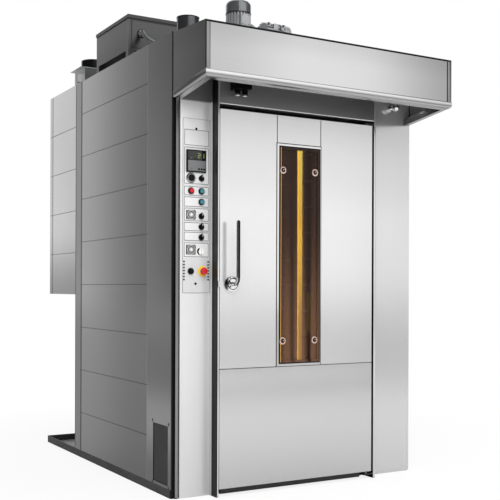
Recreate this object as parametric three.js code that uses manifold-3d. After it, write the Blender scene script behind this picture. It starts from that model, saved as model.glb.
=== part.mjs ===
// Rotating rack oven: an insulated baking chamber with a glazed door, a steam hood over the door,
// a control column, a rear heat exchanger housing and the drives that stand on the roof.
//
// Millimetres, +Z up. The pieces are drawn from the casing's front left bottom corner: X runs to
// the right along the front, Y runs to the back, and Y = 0 is the plane of the front columns.
// The whole group is then moved so that the origin is the middle of the footprint, on the floor.

import * as THREE from 'three';
import { mergeVertices } from 'three/addons/utils/BufferGeometryUtils.js';
import Module from 'manifold-3d';

const wasm = await Module();
wasm.setup();

// ---------------------------------------------------------------- driving dimensions
// Clearances
const fit = 0.3; // between pieces that touch
const runningGap = 0.5; // round a shaft or a stem that turns or slides

// Casing
const casingWidth = 1560;
const casingDepth = 1462;
const casingHeight = 2400;
const sheet = 2; // folded sheet steel
const panSheet = 3; // skin of the cladding pans and folded frames
const panRim = 12;
const claddingThickness = 18;
const courseHeight = 271.8;
const topCourseHeight = 208;
const seamWidth = 3;
const seamDepth = 2;
const frontPanelDepth = 314;
const rearPostWidth = 104;
const shadowGap = 4;
const roofThickness = 97;

// Base frame
const baseHeight = 45;
const baseTail = 560; // behind the body
const baseFront = 22;
const railThickness = 5;
const railFlange = 45;

// Chamber
const chamberLeft = 218;
const chamberRightInset = 322; // air duct and right wall
const chamberDepth = 1020;
const ceilingDrop = 310; // the chamber's ceiling below the casing's top
const ceilingThickness = 4;
const liner = 3.3; // panel with the air slots, its clearance included
const airDuctWidth = 190; // beside the chamber, behind the air slots
const cabinetWallThickness = 68; // between the chamber and the electrical cabinet
const upperRearWallThickness = 100;
const portWidth = 750;
const portHeight = 250;
const lowerPortZ = 1150;
const upperPortDrop = 290; // below the ceiling

// Door frame
const postLeft = 219;
const postWidth = 14;
const portalProjection = 75;
const portalDrop = 40; // below the casing's top
const frameDepth = 99.4;
const frameOpeningInset = 35;
const lintelOverlap = 29; // over the door's top edge
const transomGap = 26; // above the door
const rearGutter = 13; // black gap between the door and the hinge side post

// Door
const doorRightInset = 337; // from the casing's right side
const doorBottom = 41;
const doorDrop = 386; // below the casing's top
const doorBackGap = 8;
const skin = 2;
const doorSeam = 3;
const splitHeight = 662;
const doorLatchGap = 3;
const windowOffset = 4; // left of the door's middle
const windowWidth = 283;
const windowDrop = 152; // below the door's top
const frameLip = 2;
const windowBorderLeft = 27;
const windowBorderRight = 19;
const windowBorderTop = 17;
const windowBorderBottom = 21;
const glassThickness = 6;
const glassRebate = 7;
const paneSpacing = 42;
const sealWidth = 20;
const sealInset = 10;
const sealThickness = 7;
const sweepBottom = 15;
const sweepInset = 6;

// Hinges
const hingeInset = 22; // pivot line from the door's hinge edge
const hingeSetback = 26; // pivot line from the door's face
const pivotRadius = 8;
const pivotReach = 34;
const bracketThickness = 9;
const bracketWidth = 56;
const upperBracketHeight = 5; // above the door
const lowerBracketDrop = 21; // below the door

// Handle
const handleX = 304;
const handleZ = 1105;
const roseRadius = 40;
const roseHeight = 20;
const handleRadius = 10;
const handleReach = 75; // bar's axis in front of the door's face
const handleBend = 35;
const handleTop = 1424;
const camLength = 52;
const camWidth = 24;
const camThickness = 10;
const camDepth = 34; // behind the door's face

// Front columns
const controlColumnLeft = 44;
const cornerRecess = 12;
const cornerRibLeft = 19;
const cornerRibWidth = 17;
const columnReturn = 19;
const columnCornerRadius = 14;

// Vent grille at the foot of the side panel
const grilleFront = 45;
const grilleLength = 185;
const grilleBottom = 60;
const grilleHeight = 308;
const grilleBorder = 10;
const grilleColumns = 3;
const grilleRows = 13;
const grilleBar = 9;

// Control plate
const plateLeft = 57;
const plateWidth = 157;
const plateBottom = 1058;
const plateHeight = 904;
const plateThickness = 2.7;
const leftDevices = 103.5; // line of the left row of devices
const rightDevices = 164; // line of the right row of devices
const controllerLeft = 75.5;
const controllerWidth = 113;
const controllerBottom = 1683;
const controllerHeight = 116;
const bezelThickness = 7;
const controllerBody = 60;
const controllerEdge = 8;
const buttonRadius = 12;
const buttonHeight = 11;
const buttonTravel = 4;
const collarRadius = 15;
const collarHeight = 6;
const stemRadius = 5;
const stemLength = 30;
const stopHeadRadius = 20;
const stopHeadHeight = 15;
const stopNeckRadius = 9;
const stopCollarRadius = 17;
const stopTravel = 5;
const knobRadius = 16;
const knobSkirt = 5;
const knobGripWidth = 9;
const knobGripHeight = 18;
const knobPointer = 19;
const buzzerRadius = 21;
const buzzerHeight = 7;
const slotRows = 7;
const slotPitch = 15.5;
const slotWidth = 9;
const slotHeight = 4;
const slotBottom = 1127;
const slotInset = 8;

// Hood
const hoodDepth = 361;
const hoodSheet = 3;
const hoodFrontDrop = 29; // front edge below the casing's top
const hoodWallDrop = 7;
const hoodFrontHeight = 235;
const hoodBottomFall = 46; // from the front edge to the wall
const lipHeight = 42;
const lipWidth = 45;
const lipNose = 6;
const lipBevel = 17;

// Spotlights under the hood
const spotLeft = 295;
const spotWidth = 90;
const spotRise = 75; // above the transom's lower edge
const spotHeight = 46;
const spotDepth = 70;
const spotLampRadius = 15;
const spotLampDrop = 30;
const bulbInset = 144; // from the casing's right side
const bulbRise = 105; // above the transom's lower edge
const bulbRadius = 24;
const bulbBaseRadius = 20;
const bulbReach = 46;

// Rear unit
const rearUnitDepth = 524;
const rearUnitBottom = 1040;
const rearUnitWall = 4;
const rearInsulation = 56; // inside the rear unit's skin
const rearTrimWidth = 56;
const drumRadius = 170;
const tubeRadius = 42;
const tubeCount = 6;
const tubeWall = 5;
const tubeSheet = 12;
const exchangerMargin = 24; // from the tube sheets' rim to the drum
const exchangerFoot = 60;

// Flue
const flueX = 252.5;
const flueSetback = 347.5; // behind the body
const flueSide = 205;
const flueBaseHeight = 190;
const fluePipeRadius = 85;
const flueBore = 80;
const fluePipeHeight = 65;
const damperHeight = 100; // axis above the housing's roof
const damperThickness = 3;
const damperShaftRadius = 6;
const damperOverhang = 26;
const leverLength = 78;
const leverWidth = 16;

// Steam outlet on the roof
const outletX = 159;
const outletY = 150;
const outletRadius = 60;
const outletWall = 4;
const outletHeight = 128;
const outletFlange = 16;

// Fan housing on the roof
const fanBoxLeft = 100;
const fanBoxWidth = 540;
const fanBoxFront = 830;
const fanBoxDepth = 524;
const legHeight = 103;
const fanBoxHeight = 208.7;
const fanBoxWall = 6;
const legSize = 40;
const lidOverhang = 4;
const lidSkirt = 20;
const lidSheet = 3;
const fanX = 430;
const fanY = 960;
const fanMotorRadius = 85;
const fanMotorHeight = 160;

// Fan wheel
const wheelRadius = 190;
const wheelInlet = 110;
const wheelClearance = 50; // above the ceiling
const wheelHeight = 110;
const wheelPlate = 5;
const bladeCount = 10;
const bladeThickness = 4;
const bladeSweep = 0.75; // radians between a blade's root and tip
const fanShaftRadius = 16;
const hubRadius = 32;

// Conduit from the fan housing to the electrical cabinet
const conduitX = 184;
const conduitRise = 106; // above the fan housing's underside
const conduitEndX = 120;
const conduitEndY = 330;
const conduitRadius = 15;
const conduitBore = 10;
const conduitRib = 2.2;
const conduitRibs = 34;
const conduitSides = 8;
const ribsPerBoreRing = 5;

// Rack drive
const gearboxSide = 150;
const gearboxHeight = 160;
const adapterRadius = 62;
const adapterHeight = 80;
const motorRadius = 76;
const motorRoot = 64;
const motorHeight = 106;
const finCount = 24;
const cowlRadius = 77;
const cowlHeight = 80;
const cowlShoulder = 28;
const cowlCapRadius = 28;
const cowlCapHeight = 18;
const terminalWidth = 62;
const terminalHeight = 70;
const terminalDepth = 26;
const shaftRadius = 25;
const hookBarLength = 420;
const hookBarWidth = 36;
const hookBarHeight = 22;
const hookDrop = 70;
const hookThickness = 14;
const hookClearance = 40; // below the ceiling

// Extractor motor behind the hood
const extractorY = 200;
const extractorRise = 120; // above the roof
const extractorRadius = 68;
const extractorRoot = 56;
const extractorLength = 160;
const extractorFins = 20;
const extractorFoot = 90;
const extractorFootThickness = 10;
const extractorWeb = 30;

// Air slots and steam generator
const airColumns = 3;
const airRows = 12;
const airSlotHeight = 16;
const airBar = 60;
const steamX = 24; // from the air slots to the stack
const steamWidth = 140;
const steamFront = 300;
const steamLength = 600;
const steamPlates = 12;
const steamPlateThickness = 14;
const steamPitch = 70;
const steamCore = 60;

// ---------------------------------------------------------------- derived places
const frameLeft = postLeft;
const doorLeft = postLeft + postWidth + doorLatchGap;
const doorRight = casingWidth - doorRightInset;
const doorTop = casingHeight - doorDrop;
const portalTop = casingHeight - portalDrop;
const lintelUnderside = doorTop - lintelOverlap;
const transomUnderside = doorTop + transomGap;
const rightPostLeft = doorRight + rearGutter;
const frameRight = rightPostLeft + postWidth;
const portalFace = -portalProjection;
const doorBack = -doorBackGap;
const chamberRight = casingWidth - chamberRightInset;
const chamberFront = frameDepth + 2 * fit;
const chamberRear = chamberFront + chamberDepth;
const floorTop = baseHeight;
const ceilingBottom = casingHeight - ceilingDrop;
const roofBottom = casingHeight - roofThickness;
const upperPortZ = ceilingBottom - upperPortDrop;
const rackX = (chamberLeft + chamberRight) / 2;
const rackY = chamberFront + chamberDepth / 2;
const airDuctRight = chamberRight + liner + airDuctWidth;
const innerRight = casingWidth - claddingThickness;
const openingLeft = doorLeft + frameOpeningInset;
const openingRight = doorRight - frameOpeningInset;
const windowLeft = (doorLeft + doorRight - windowWidth) / 2 - windowOffset;
const windowRight = windowLeft + windowWidth;
const windowTop = doorTop - windowDrop;
const glassLeft = windowLeft + windowBorderLeft;
const glassRight = windowRight - windowBorderRight;
const glassBottom = splitHeight + windowBorderBottom;
const glassTop = windowTop - windowBorderTop;
const hingeX = doorRight - hingeInset;
const hingeY = portalFace + hingeSetback;
const baseLength = casingDepth + baseTail;
const hoodFrontTop = casingHeight - hoodFrontDrop;
const hoodWallTop = casingHeight - hoodWallDrop;
const hoodFrontBottom = hoodFrontTop - hoodFrontHeight;
const spotBottom = transomUnderside + spotRise;
const bulbX = casingWidth - bulbInset;
const bulbZ = transomUnderside + bulbRise;
const rearUnitFront = casingDepth + fit;
const rearUnitBack = casingDepth + rearUnitDepth;
const flueY = casingDepth + flueSetback;
const fanBoxBottom = casingHeight + legHeight;
const wheelBottom = ceilingBottom + wheelClearance;
const conduitZ = fanBoxBottom + conduitRise;
const hookTop = ceilingBottom - hookClearance;
const extractorZ = casingHeight + extractorRise;
const outletBore = outletRadius - outletWall;
const gearboxTop = casingHeight + fit + gearboxHeight;
const motorBottom = gearboxTop + adapterHeight;
const motorTop = motorBottom + motorHeight;
const footprintFront = -(hoodDepth + lipNose);
const footprintMiddle = (footprintFront + baseLength) / 2;
const pass = 120; // reach of a cutting tool past the front plane or past the face that it opens

// ---------------------------------------------------------------- finishes
const finish = (color, roughness, metalness) =>
  new THREE.MeshStandardMaterial({ color, roughness, metalness, flatShading: true });
const sideSteel = () => finish('#6e6e6e', 0.45, 0.9);
const frontSteel = () => finish('#dcdcdc', 0.35, 0.9);
const rearSteel = () => finish('#b4b4b4', 0.45, 0.9);
const darkSteel = () => finish('#3c3c3c', 0.55, 0.7);
const galvanised = () => finish('#bfc0c0', 0.5, 0.8);
const chrome = () => finish('#e8e8e8', 0.08, 1);
const insulation = () => finish('#b9a77a', 0.9, 0);
const blackPlastic = () => finish('#141414', 0.4, 0);
const rubber = () => finish('#171717', 0.8, 0);
const castIron = () => finish('#4a4a4c', 0.7, 0.5);
const brownGlass = () =>
  new THREE.MeshStandardMaterial({
    color: '#5a3c22',
    roughness: 0.08,
    metalness: 0,
    transparent: true,
    opacity: 0.6,
  });

// ---------------------------------------------------------------- solids
/** Turns a closed geometry into a solid whose faces point outwards. */
function solid(geometry) {
  const bare = geometry.clone();
  for (const name of Object.keys(bare.attributes)) {
    if (name !== 'position') bare.deleteAttribute(name);
  }
  const merged = mergeVertices(bare, 1e-4);
  const triangles = [];
  for (let i = 0; i < merged.index.count; i += 3) {
    const [a, b, c] = [0, 1, 2].map((k) => merged.index.getX(i + k));
    if (a !== b && b !== c && c !== a) triangles.push([a, b, c]);
  }
  const make = (list) =>
    new wasm.Manifold(
      new wasm.Mesh({
        numProp: 3,
        vertProperties: new Float32Array(merged.attributes.position.array),
        triVerts: new Uint32Array(list.flat()),
      }),
    );
  const first = make(triangles);
  return first.volume() > 0 ? first : make(triangles.map(([a, b, c]) => [a, c, b]));
}

const join = (first, ...others) => others.reduce((whole, part) => whole.add(part), first);
const cut = (first, ...tools) => tools.reduce((whole, tool) => whole.subtract(tool), first);

/** A named mesh made of one solid. */
function piece(name, body, material) {
  const { vertProperties, triVerts, numProp } = body.getMesh();
  const geometry = new THREE.BufferGeometry();
  const positions = new THREE.InterleavedBuffer(new Float32Array(vertProperties), numProp);
  geometry.setAttribute('position', new THREE.InterleavedBufferAttribute(positions, 3, 0));
  geometry.setIndex(Array.from(triVerts));
  geometry.computeVertexNormals();
  const mesh = new THREE.Mesh(geometry, material);
  mesh.name = name;
  return mesh;
}

/** A block between two values on each axis. */
function block(x0, x1, y0, y1, z0, z1) {
  const geometry = new THREE.BoxGeometry(x1 - x0, y1 - y0, z1 - z0);
  geometry.translate((x0 + x1) / 2, (y0 + y1) / 2, (z0 + z1) / 2);
  return solid(geometry);
}

/** Carries a shape drawn in XY and extruded along Z onto the given axis. */
function turned(geometry, axis) {
  const bases = {
    x: [new THREE.Vector3(0, 1, 0), new THREE.Vector3(0, 0, 1), new THREE.Vector3(1, 0, 0)],
    y: [new THREE.Vector3(1, 0, 0), new THREE.Vector3(0, 0, 1), new THREE.Vector3(0, -1, 0)],
    z: [new THREE.Vector3(1, 0, 0), new THREE.Vector3(0, 1, 0), new THREE.Vector3(0, 0, 1)],
  };
  return geometry.applyMatrix4(new THREE.Matrix4().makeBasis(...bases[axis]));
}

/**
 * A prism along an axis. The outline holds (y, z) points for the x axis, (x, z) points for the
 * y axis and (x, y) points for the z axis.
 */
function prism(axis, outline, from, to) {
  const shape = outline instanceof THREE.Shape ? outline : new THREE.Shape(outline.map(point));
  const geometry = new THREE.ExtrudeGeometry(shape, {
    depth: to - from,
    bevelEnabled: false,
    curveSegments: 8,
  });
  geometry.translate(0, 0, axis === 'y' ? -to : from);
  return solid(turned(geometry, axis));
}

const point = ([a, b]) => new THREE.Vector2(a, b);

/** A round bar along an axis, round the point given by the other two values in order. */
function round(axis, radius, u, v, from, to, sides = 24) {
  const circle = new THREE.Shape();
  for (let i = 0; i < sides; i += 1) {
    const angle = (2 * Math.PI * i) / sides;
    const [a, b] = [u + radius * Math.cos(angle), v + radius * Math.sin(angle)];
    if (i === 0) circle.moveTo(a, b);
    else circle.lineTo(a, b);
  }
  return prism(axis, circle, from, to);
}

/** A turned body: (radius, height) points that start and end on the axis, about +Z at the origin. */
function revolve(profile, sides = 32) {
  const geometry = new THREE.LatheGeometry(profile.map(point), sides);
  geometry.rotateX(Math.PI / 2);
  return geometry;
}

/** A turned body whose axis points out of the front, standing on the plane Y = y. */
function frontKnob(profile, x, y, z, sides = 16) {
  const geometry = revolve(profile, sides);
  geometry.rotateX(Math.PI / 2);
  geometry.translate(x, y, z);
  return solid(geometry);
}

/** The heights of the seams between the cladding courses, from the top down. */
function seamHeights(firstCourse, bottom) {
  const heights = [];
  for (let z = casingHeight - firstCourse; z > bottom + 2 * seamWidth; z -= courseHeight) {
    heights.push(z);
  }
  return heights;
}

/** An outline with equal fins round a root circle. */
function finnedOutline(root, tip, count) {
  const shape = new THREE.Shape();
  const step = (2 * Math.PI) / count;
  for (let i = 0; i < count; i += 1) {
    const corners = [
      [root, -0.25],
      [tip, -0.2],
      [tip, 0.2],
      [root, 0.25],
    ];
    corners.forEach(([radius, share], k) => {
      const angle = (i + share) * step;
      const [a, b] = [radius * Math.cos(angle), radius * Math.sin(angle)];
      if (i === 0 && k === 0) shape.moveTo(a, b);
      else shape.lineTo(a, b);
    });
  }
  return shape;
}

// ---------------------------------------------------------------- base and insulated walls
function baseFrame() {
  const angle = (y0, y1, flangeY0, flangeY1) => [
    block(0, casingWidth, y0, y1, 0, baseHeight),
    block(0, casingWidth, flangeY0, flangeY1, 0, railThickness),
  ];
  const side = (x0, x1, flangeX0, flangeX1) => [
    block(x0, x1, baseFront, baseLength, 0, baseHeight),
    block(flangeX0, flangeX1, baseFront, baseLength, 0, railThickness),
  ];
  const body = join(
    ...angle(baseFront, baseFront + railThickness, baseFront, baseFront + railFlange),
    ...angle(baseLength - railThickness, baseLength, baseLength - railFlange, baseLength),
    ...angle(casingDepth, casingDepth + railThickness, casingDepth - railFlange, casingDepth),
    ...side(0, railThickness, 0, railFlange),
    ...side(casingWidth - railThickness, casingWidth, casingWidth - railFlange, casingWidth),
  );
  return piece('base_frame', body, darkSteel());
}

function chamberFloor() {
  const edge = railThickness + fit;
  const body = block(edge, casingWidth - edge, baseFront + edge, casingDepth - fit, edge, floorTop);
  return piece('chamber_floor', body, galvanised());
}

function leftWall() {
  const outline = [
    [claddingThickness + fit, frontPanelDepth + fit],
    [chamberLeft - cabinetWallThickness, frontPanelDepth + fit],
    [chamberLeft - cabinetWallThickness, chamberFront],
    [chamberLeft, chamberFront],
    [chamberLeft, chamberRear],
    [claddingThickness + fit, chamberRear],
  ];
  return piece('left_wall', prism('z', outline, floorTop + fit, roofBottom - fit), insulation());
}

function rightWall() {
  const front = baseFront + fit;
  const [bottom, top] = [floorTop + fit, roofBottom - fit];
  const body = block(airDuctRight, innerRight - fit, front, chamberRear, bottom, top);
  return piece('right_wall', body, insulation());
}

function rearWall() {
  const front = chamberRear + fit;
  const back = casingDepth - fit;
  const step = ceilingBottom + ceilingThickness;
  const outline = [
    [front, floorTop + fit],
    [back, floorTop + fit],
    [back, roofBottom - fit],
    [back - upperRearWallThickness, roofBottom - fit],
    [back - upperRearWallThickness, step],
    [front, step],
  ];
  let body = prism('x', outline, claddingThickness + fit, innerRight - fit);
  for (const z of [lowerPortZ, upperPortZ]) {
    const [x0, x1] = [rackX - portWidth / 2, rackX + portWidth / 2];
    body = cut(body, block(x0, x1, front - pass, casingDepth, z, z + portHeight));
  }
  return piece('rear_wall', body, insulation());
}

function roofPanel() {
  const left = claddingThickness + fit;
  const cabinetLeft = sheet + fit;
  const cabinetBack = frontPanelDepth - sheet - fit;
  const outline = [
    [cabinetLeft, baseFront],
    [innerRight - fit, baseFront],
    [innerRight - fit, casingDepth - fit],
    [left, casingDepth - fit],
    [left, cabinetBack],
    [cabinetLeft, cabinetBack],
  ];
  const body = cut(
    prism('z', outline, roofBottom, casingHeight),
    round('z', shaftRadius + runningGap, rackX, rackY, roofBottom - fit, casingHeight + fit),
    round('z', fanShaftRadius + runningGap, fanX, fanY, roofBottom - fit, casingHeight + fit),
  );
  return piece('roof_panel', body, galvanised());
}

function chamberCeiling() {
  const right = chamberRight + liner;
  const top = ceilingBottom + ceilingThickness;
  const slab = block(chamberLeft + fit, right, chamberFront, chamberRear, ceilingBottom, top);
  const body = cut(
    slab,
    round('z', shaftRadius + runningGap, rackX, rackY, ceilingBottom - fit, top + fit),
    round('z', wheelInlet, fanX, fanY, ceilingBottom - fit, top + fit),
  );
  return piece('chamber_ceiling', body, rearSteel());
}

/** The inner panel that blows air over the trays through rows of slots. */
function airDiffuser() {
  const left = chamberRight + fit;
  const right = chamberRight + liner;
  const [front, back] = [chamberFront + fit, chamberRear - fit];
  const [bottom, top] = [floorTop + fit, ceilingBottom - fit];
  let body = block(left, right, front, back, bottom, top);
  const columnPitch = (back - front - airBar) / airColumns;
  const rowPitch = (top - bottom - airBar) / airRows;
  for (let column = 0; column < airColumns; column += 1) {
    for (let row = 0; row < airRows; row += 1) {
      const y = front + airBar + column * columnPitch;
      const z = bottom + airBar + row * rowPitch;
      const slotBack = y + columnPitch - airBar;
      body = cut(body, block(left - fit, right + fit, y, slotBack, z, z + airSlotHeight));
    }
  }
  return piece('air_diffuser', body, rearSteel());
}

/** The stack of iron plates in the air duct that turns water to steam. */
function steamGenerator() {
  const left = chamberRight + liner + steamX;
  const right = left + steamWidth;
  const back = steamFront + steamLength;
  const bottom = floorTop + fit;
  const top = bottom + steamPlates * steamPitch;
  const middle = (left + right) / 2;
  const plates = [];
  for (let i = 0; i < steamPlates; i += 1) {
    const z = bottom + i * steamPitch;
    plates.push(block(left, right, steamFront, back, z, z + steamPlateThickness));
  }
  const [x0, x1] = [middle - steamCore / 2, middle + steamCore / 2];
  const post = (y) => block(x0, x1, y, y + steamCore, bottom, top);
  const body = join(post(steamFront + steamCore), post(back - 2 * steamCore), ...plates);
  return piece('steam_generator', body, castIron());
}

// ---------------------------------------------------------------- outer cladding
/** A cladding pan, open behind, whose outer face has a shallow seam between its courses. */
function coursedPanel(name, x0, x1, y0, y1, outward) {
  const bottom = baseHeight + fit;
  const face = outward < 0 ? x0 : x1;
  const back = outward < 0 ? x1 : x0;
  const hollow = [face - outward * panSheet, back - outward * fit].sort((a, b) => a - b);
  const rim = [y0 + panRim, y1 - panRim, bottom + panRim, casingHeight - panRim];
  let body = cut(block(x0, x1, y0, y1, bottom, casingHeight), block(...hollow, ...rim));
  for (const z of seamHeights(topCourseHeight, baseHeight)) {
    const depth = [face - seamDepth, face + seamDepth];
    body = cut(body, block(depth[0], depth[1], y0 - fit, y1 + fit, z - seamWidth, z));
  }
  return piece(name, body, sideSteel());
}

function leftCladding() {
  const front = frontPanelDepth + fit;
  const back = casingDepth - rearPostWidth - shadowGap;
  return coursedPanel('left_cladding', 0, claddingThickness, front, back, -1);
}

function rightCladding() {
  const front = columnReturn + sheet + fit;
  return coursedPanel('right_cladding', innerRight, casingWidth, front, casingDepth, 1);
}

/** The folded corner post at the back of the left side, with a dark gap along its front edge. */
function leftRearPost() {
  const front = casingDepth - rearPostWidth;
  const step = claddingThickness / 2;
  const gapFloor = front - shadowGap + fit;
  const outline = [
    [0, front],
    [step, front],
    [step, gapFloor],
    [step + panSheet, gapFloor],
    [step + panSheet, front + panSheet],
    [panSheet, front + panSheet],
    [panSheet, casingDepth - panSheet],
    [claddingThickness, casingDepth - panSheet],
    [claddingThickness, casingDepth],
    [0, casingDepth],
  ];
  return piece('left_rear_post', prism('z', outline, baseHeight + fit, casingHeight), sideSteel());
}

/** The full-height folded panel beside the front corner, open at its foot for the vent grille. */
function leftFrontPanel() {
  const [bottom, top] = [baseHeight + fit, casingHeight];
  const outline = [
    [0, sheet + fit],
    [sheet, sheet + fit],
    [sheet, frontPanelDepth - sheet],
    [claddingThickness, frontPanelDepth - sheet],
    [claddingThickness, frontPanelDepth],
    [0, frontPanelDepth],
  ];
  const opening = block(
    -fit,
    sheet + fit,
    grilleFront,
    grilleFront + grilleLength,
    grilleBottom,
    grilleBottom + grilleHeight,
  );
  return piece('left_front_panel', cut(prism('z', outline, bottom, top), opening), sideSteel());
}

function ventGrille() {
  const [x0, x1] = [sheet + fit, 2 * sheet + fit];
  const [front, back] = [grilleFront - grilleBorder, grilleFront + grilleLength + grilleBorder];
  const [bottom, top] = [grilleBottom - grilleBorder, grilleBottom + grilleHeight + grilleBorder];
  let body = block(x0, x1, front, back, bottom, top);
  const pitchY = (grilleLength - grilleBar) / grilleColumns;
  const pitchZ = (grilleHeight - grilleBar) / grilleRows;
  for (let column = 0; column < grilleColumns; column += 1) {
    for (let row = 0; row < grilleRows; row += 1) {
      const y = grilleFront + grilleBar + column * pitchY;
      const z = grilleBottom + grilleBar + row * pitchZ;
      const slot = block(x0 - fit, x1 + fit, y, y + pitchY - grilleBar, z, z + pitchZ - grilleBar);
      body = cut(body, slot);
    }
  }
  return piece('vent_grille', body, darkSteel());
}

/** The recessed strip with one raised rib between the side panel and the control column. */
function cornerProfile() {
  const left = sheet + fit;
  const right = controlColumnLeft - fit;
  const back = baseFront - fit;
  const outline = [
    [left, cornerRecess],
    [cornerRibLeft, cornerRecess],
    [cornerRibLeft, 0],
    [cornerRibLeft + cornerRibWidth, 0],
    [cornerRibLeft + cornerRibWidth, cornerRecess],
    [right, cornerRecess],
    [right, back],
    [left, back],
  ];
  return piece('corner_profile', prism('z', outline, 0, casingHeight), darkSteel());
}

// ---------------------------------------------------------------- front columns and controls
// Every device on the plate: its place, the radius of its hole and the kind of collar round it.
const plateZ = {
  buzzer: 1653.5,
  red: 1587,
  lowerTeal: 1531,
  firstDial: 1456.6,
  secondKnob: 1401.5,
  thirdKnob: 1347,
  crescent: 1272,
  push: 1170.8,
};

const stemHole = stemRadius + runningGap;
const stemDevices = [
  ['fan_selector', rightDevices, plateZ.buzzer],
  ['red_button', leftDevices, plateZ.red],
  ['upper_teal_button', rightDevices, plateZ.red],
  ['lower_teal_button', rightDevices, plateZ.lowerTeal],
  ['steam_timer_knob', rightDevices, plateZ.firstDial],
  ['damper_selector', rightDevices, plateZ.secondKnob],
  ['rotation_selector', rightDevices, plateZ.thirdKnob],
  ['light_selector', rightDevices, plateZ.crescent],
  ['black_button', leftDevices, plateZ.push],
  ['emergency_stop', rightDevices + 8, plateZ.push],
];
const stemTools = () =>
  stemDevices.map(([, x, z]) => round('y', stemHole, x, z, -pass, pass, 12));

/** A folded channel whose face lies on the plane of the front columns. */
function channel(left, right) {
  const outline = [
    [left, 0],
    [right, 0],
    [right, columnReturn],
    [right - sheet, columnReturn],
    [right - sheet, sheet],
    [left + sheet, sheet],
    [left + sheet, columnReturn],
    [left, columnReturn],
  ];
  return prism('z', outline, 0, casingHeight);
}

function controlColumn() {
  const body = channel(controlColumnLeft, postLeft - fit);
  const pocket = block(
    controllerLeft + controllerEdge - fit,
    controllerLeft + controllerWidth - controllerEdge + fit,
    -fit,
    sheet + fit,
    controllerBottom + controllerEdge - fit,
    controllerBottom + controllerHeight - controllerEdge + fit,
  );
  return piece('control_column', cut(body, pocket, ...stemTools()), frontSteel());
}

function rightColumn() {
  const radius = columnCornerRadius;
  const corner = new THREE.Shape();
  corner.moveTo(casingWidth - radius, -radius);
  corner.lineTo(casingWidth + radius, -radius);
  corner.lineTo(casingWidth + radius, radius);
  corner.lineTo(casingWidth, radius);
  corner.absarc(casingWidth - radius, radius, radius, 0, -Math.PI / 2, true);
  const body = cut(channel(frameRight + fit, casingWidth), prism('y', corner, -pass, pass));
  return piece('right_column', body, frontSteel());
}

function controlPlate() {
  const [back, front] = [-fit, -fit - plateThickness];
  const right = plateLeft + plateWidth;
  const top = plateBottom + plateHeight;
  const plate = block(plateLeft, right, front, back, plateBottom, top);
  const collar = (x, z, radius, height) => round('y', radius, x, z, front - height, back, 20);
  const stop = stemDevices.find(([name]) => name === 'emergency_stop');
  const collars = stemDevices
    .filter(([name]) => name.endsWith('button'))
    .map(([, x, z]) =>
      cut(
        collar(x, z, collarRadius, collarHeight),
        round('y', buttonRadius + runningGap, x, z, front - collarHeight - fit, front, 20),
      ),
    );
  const buzzer = collar(leftDevices, plateZ.buzzer, buzzerRadius, buzzerHeight);
  const stopCollar = collar(stop[1], stop[2], stopCollarRadius, collarHeight);
  const slots = [];
  for (const x of [plateLeft + slotInset, right - slotInset]) {
    for (let row = 0; row < slotRows; row += 1) {
      const z = slotBottom + row * slotPitch;
      const [x0, x1] = [x - slotWidth / 2, x + slotWidth / 2];
      slots.push(block(x0, x1, front - fit, 0, z - slotHeight / 2, z + slotHeight / 2));
    }
  }
  const pocket = block(
    controllerLeft + controllerEdge - fit,
    controllerLeft + controllerWidth - controllerEdge + fit,
    front - fit,
    0,
    controllerBottom + controllerEdge - fit,
    controllerBottom + controllerHeight - controllerEdge + fit,
  );
  const body = cut(join(plate, ...collars, buzzer, stopCollar), pocket, ...slots, ...stemTools());
  return piece('control_plate', body, frontSteel());
}

function controller() {
  const face = -2 * fit - plateThickness;
  const bezel = block(
    controllerLeft,
    controllerLeft + controllerWidth,
    face - bezelThickness,
    face,
    controllerBottom,
    controllerBottom + controllerHeight,
  );
  const box = block(
    controllerLeft + controllerEdge,
    controllerLeft + controllerWidth - controllerEdge,
    face - bezelThickness / 2,
    controllerBody,
    controllerBottom + controllerEdge,
    controllerBottom + controllerHeight - controllerEdge,
  );
  return piece('controller', join(bezel, box), blackPlastic());
}

const plateFront = -fit - plateThickness;

/** A push button: a domed cap in its collar on a stem that passes the plate. */
function pushButton(name, x, z, color) {
  const base = plateFront - buttonTravel - fit;
  const edge = 2;
  const cap = frontKnob(
    [
      [0, 0],
      [buttonRadius, 0],
      [buttonRadius, buttonHeight - edge],
      [buttonRadius - edge, buttonHeight],
      [0, buttonHeight],
    ],
    x,
    base,
    z,
  );
  const stem = round('y', stemRadius, x, z, base - edge, base + stemLength, 12);
  return piece(name, join(cap, stem), finish(color, 0.4, 0));
}

/** The red mushroom head of the emergency stop. */
function emergencyStop(name, x, z) {
  const base = plateFront - collarHeight - stopTravel - fit;
  const crown = 4;
  const head = frontKnob(
    [
      [0, 0],
      [stopNeckRadius, 0],
      [stopNeckRadius, crown],
      [stopHeadRadius - crown, crown],
      [stopHeadRadius, 2 * crown],
      [stopHeadRadius - crown / 2, stopHeadHeight],
      [stopHeadRadius / 2, stopHeadHeight + crown / 2],
      [0, stopHeadHeight + crown],
    ],
    x,
    base,
    z,
  );
  const stem = round('y', stemRadius, x, z, base - 1, base + stemLength, 12);
  return piece(name, join(head, stem), finish('#c01820', 0.35, 0));
}

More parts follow.
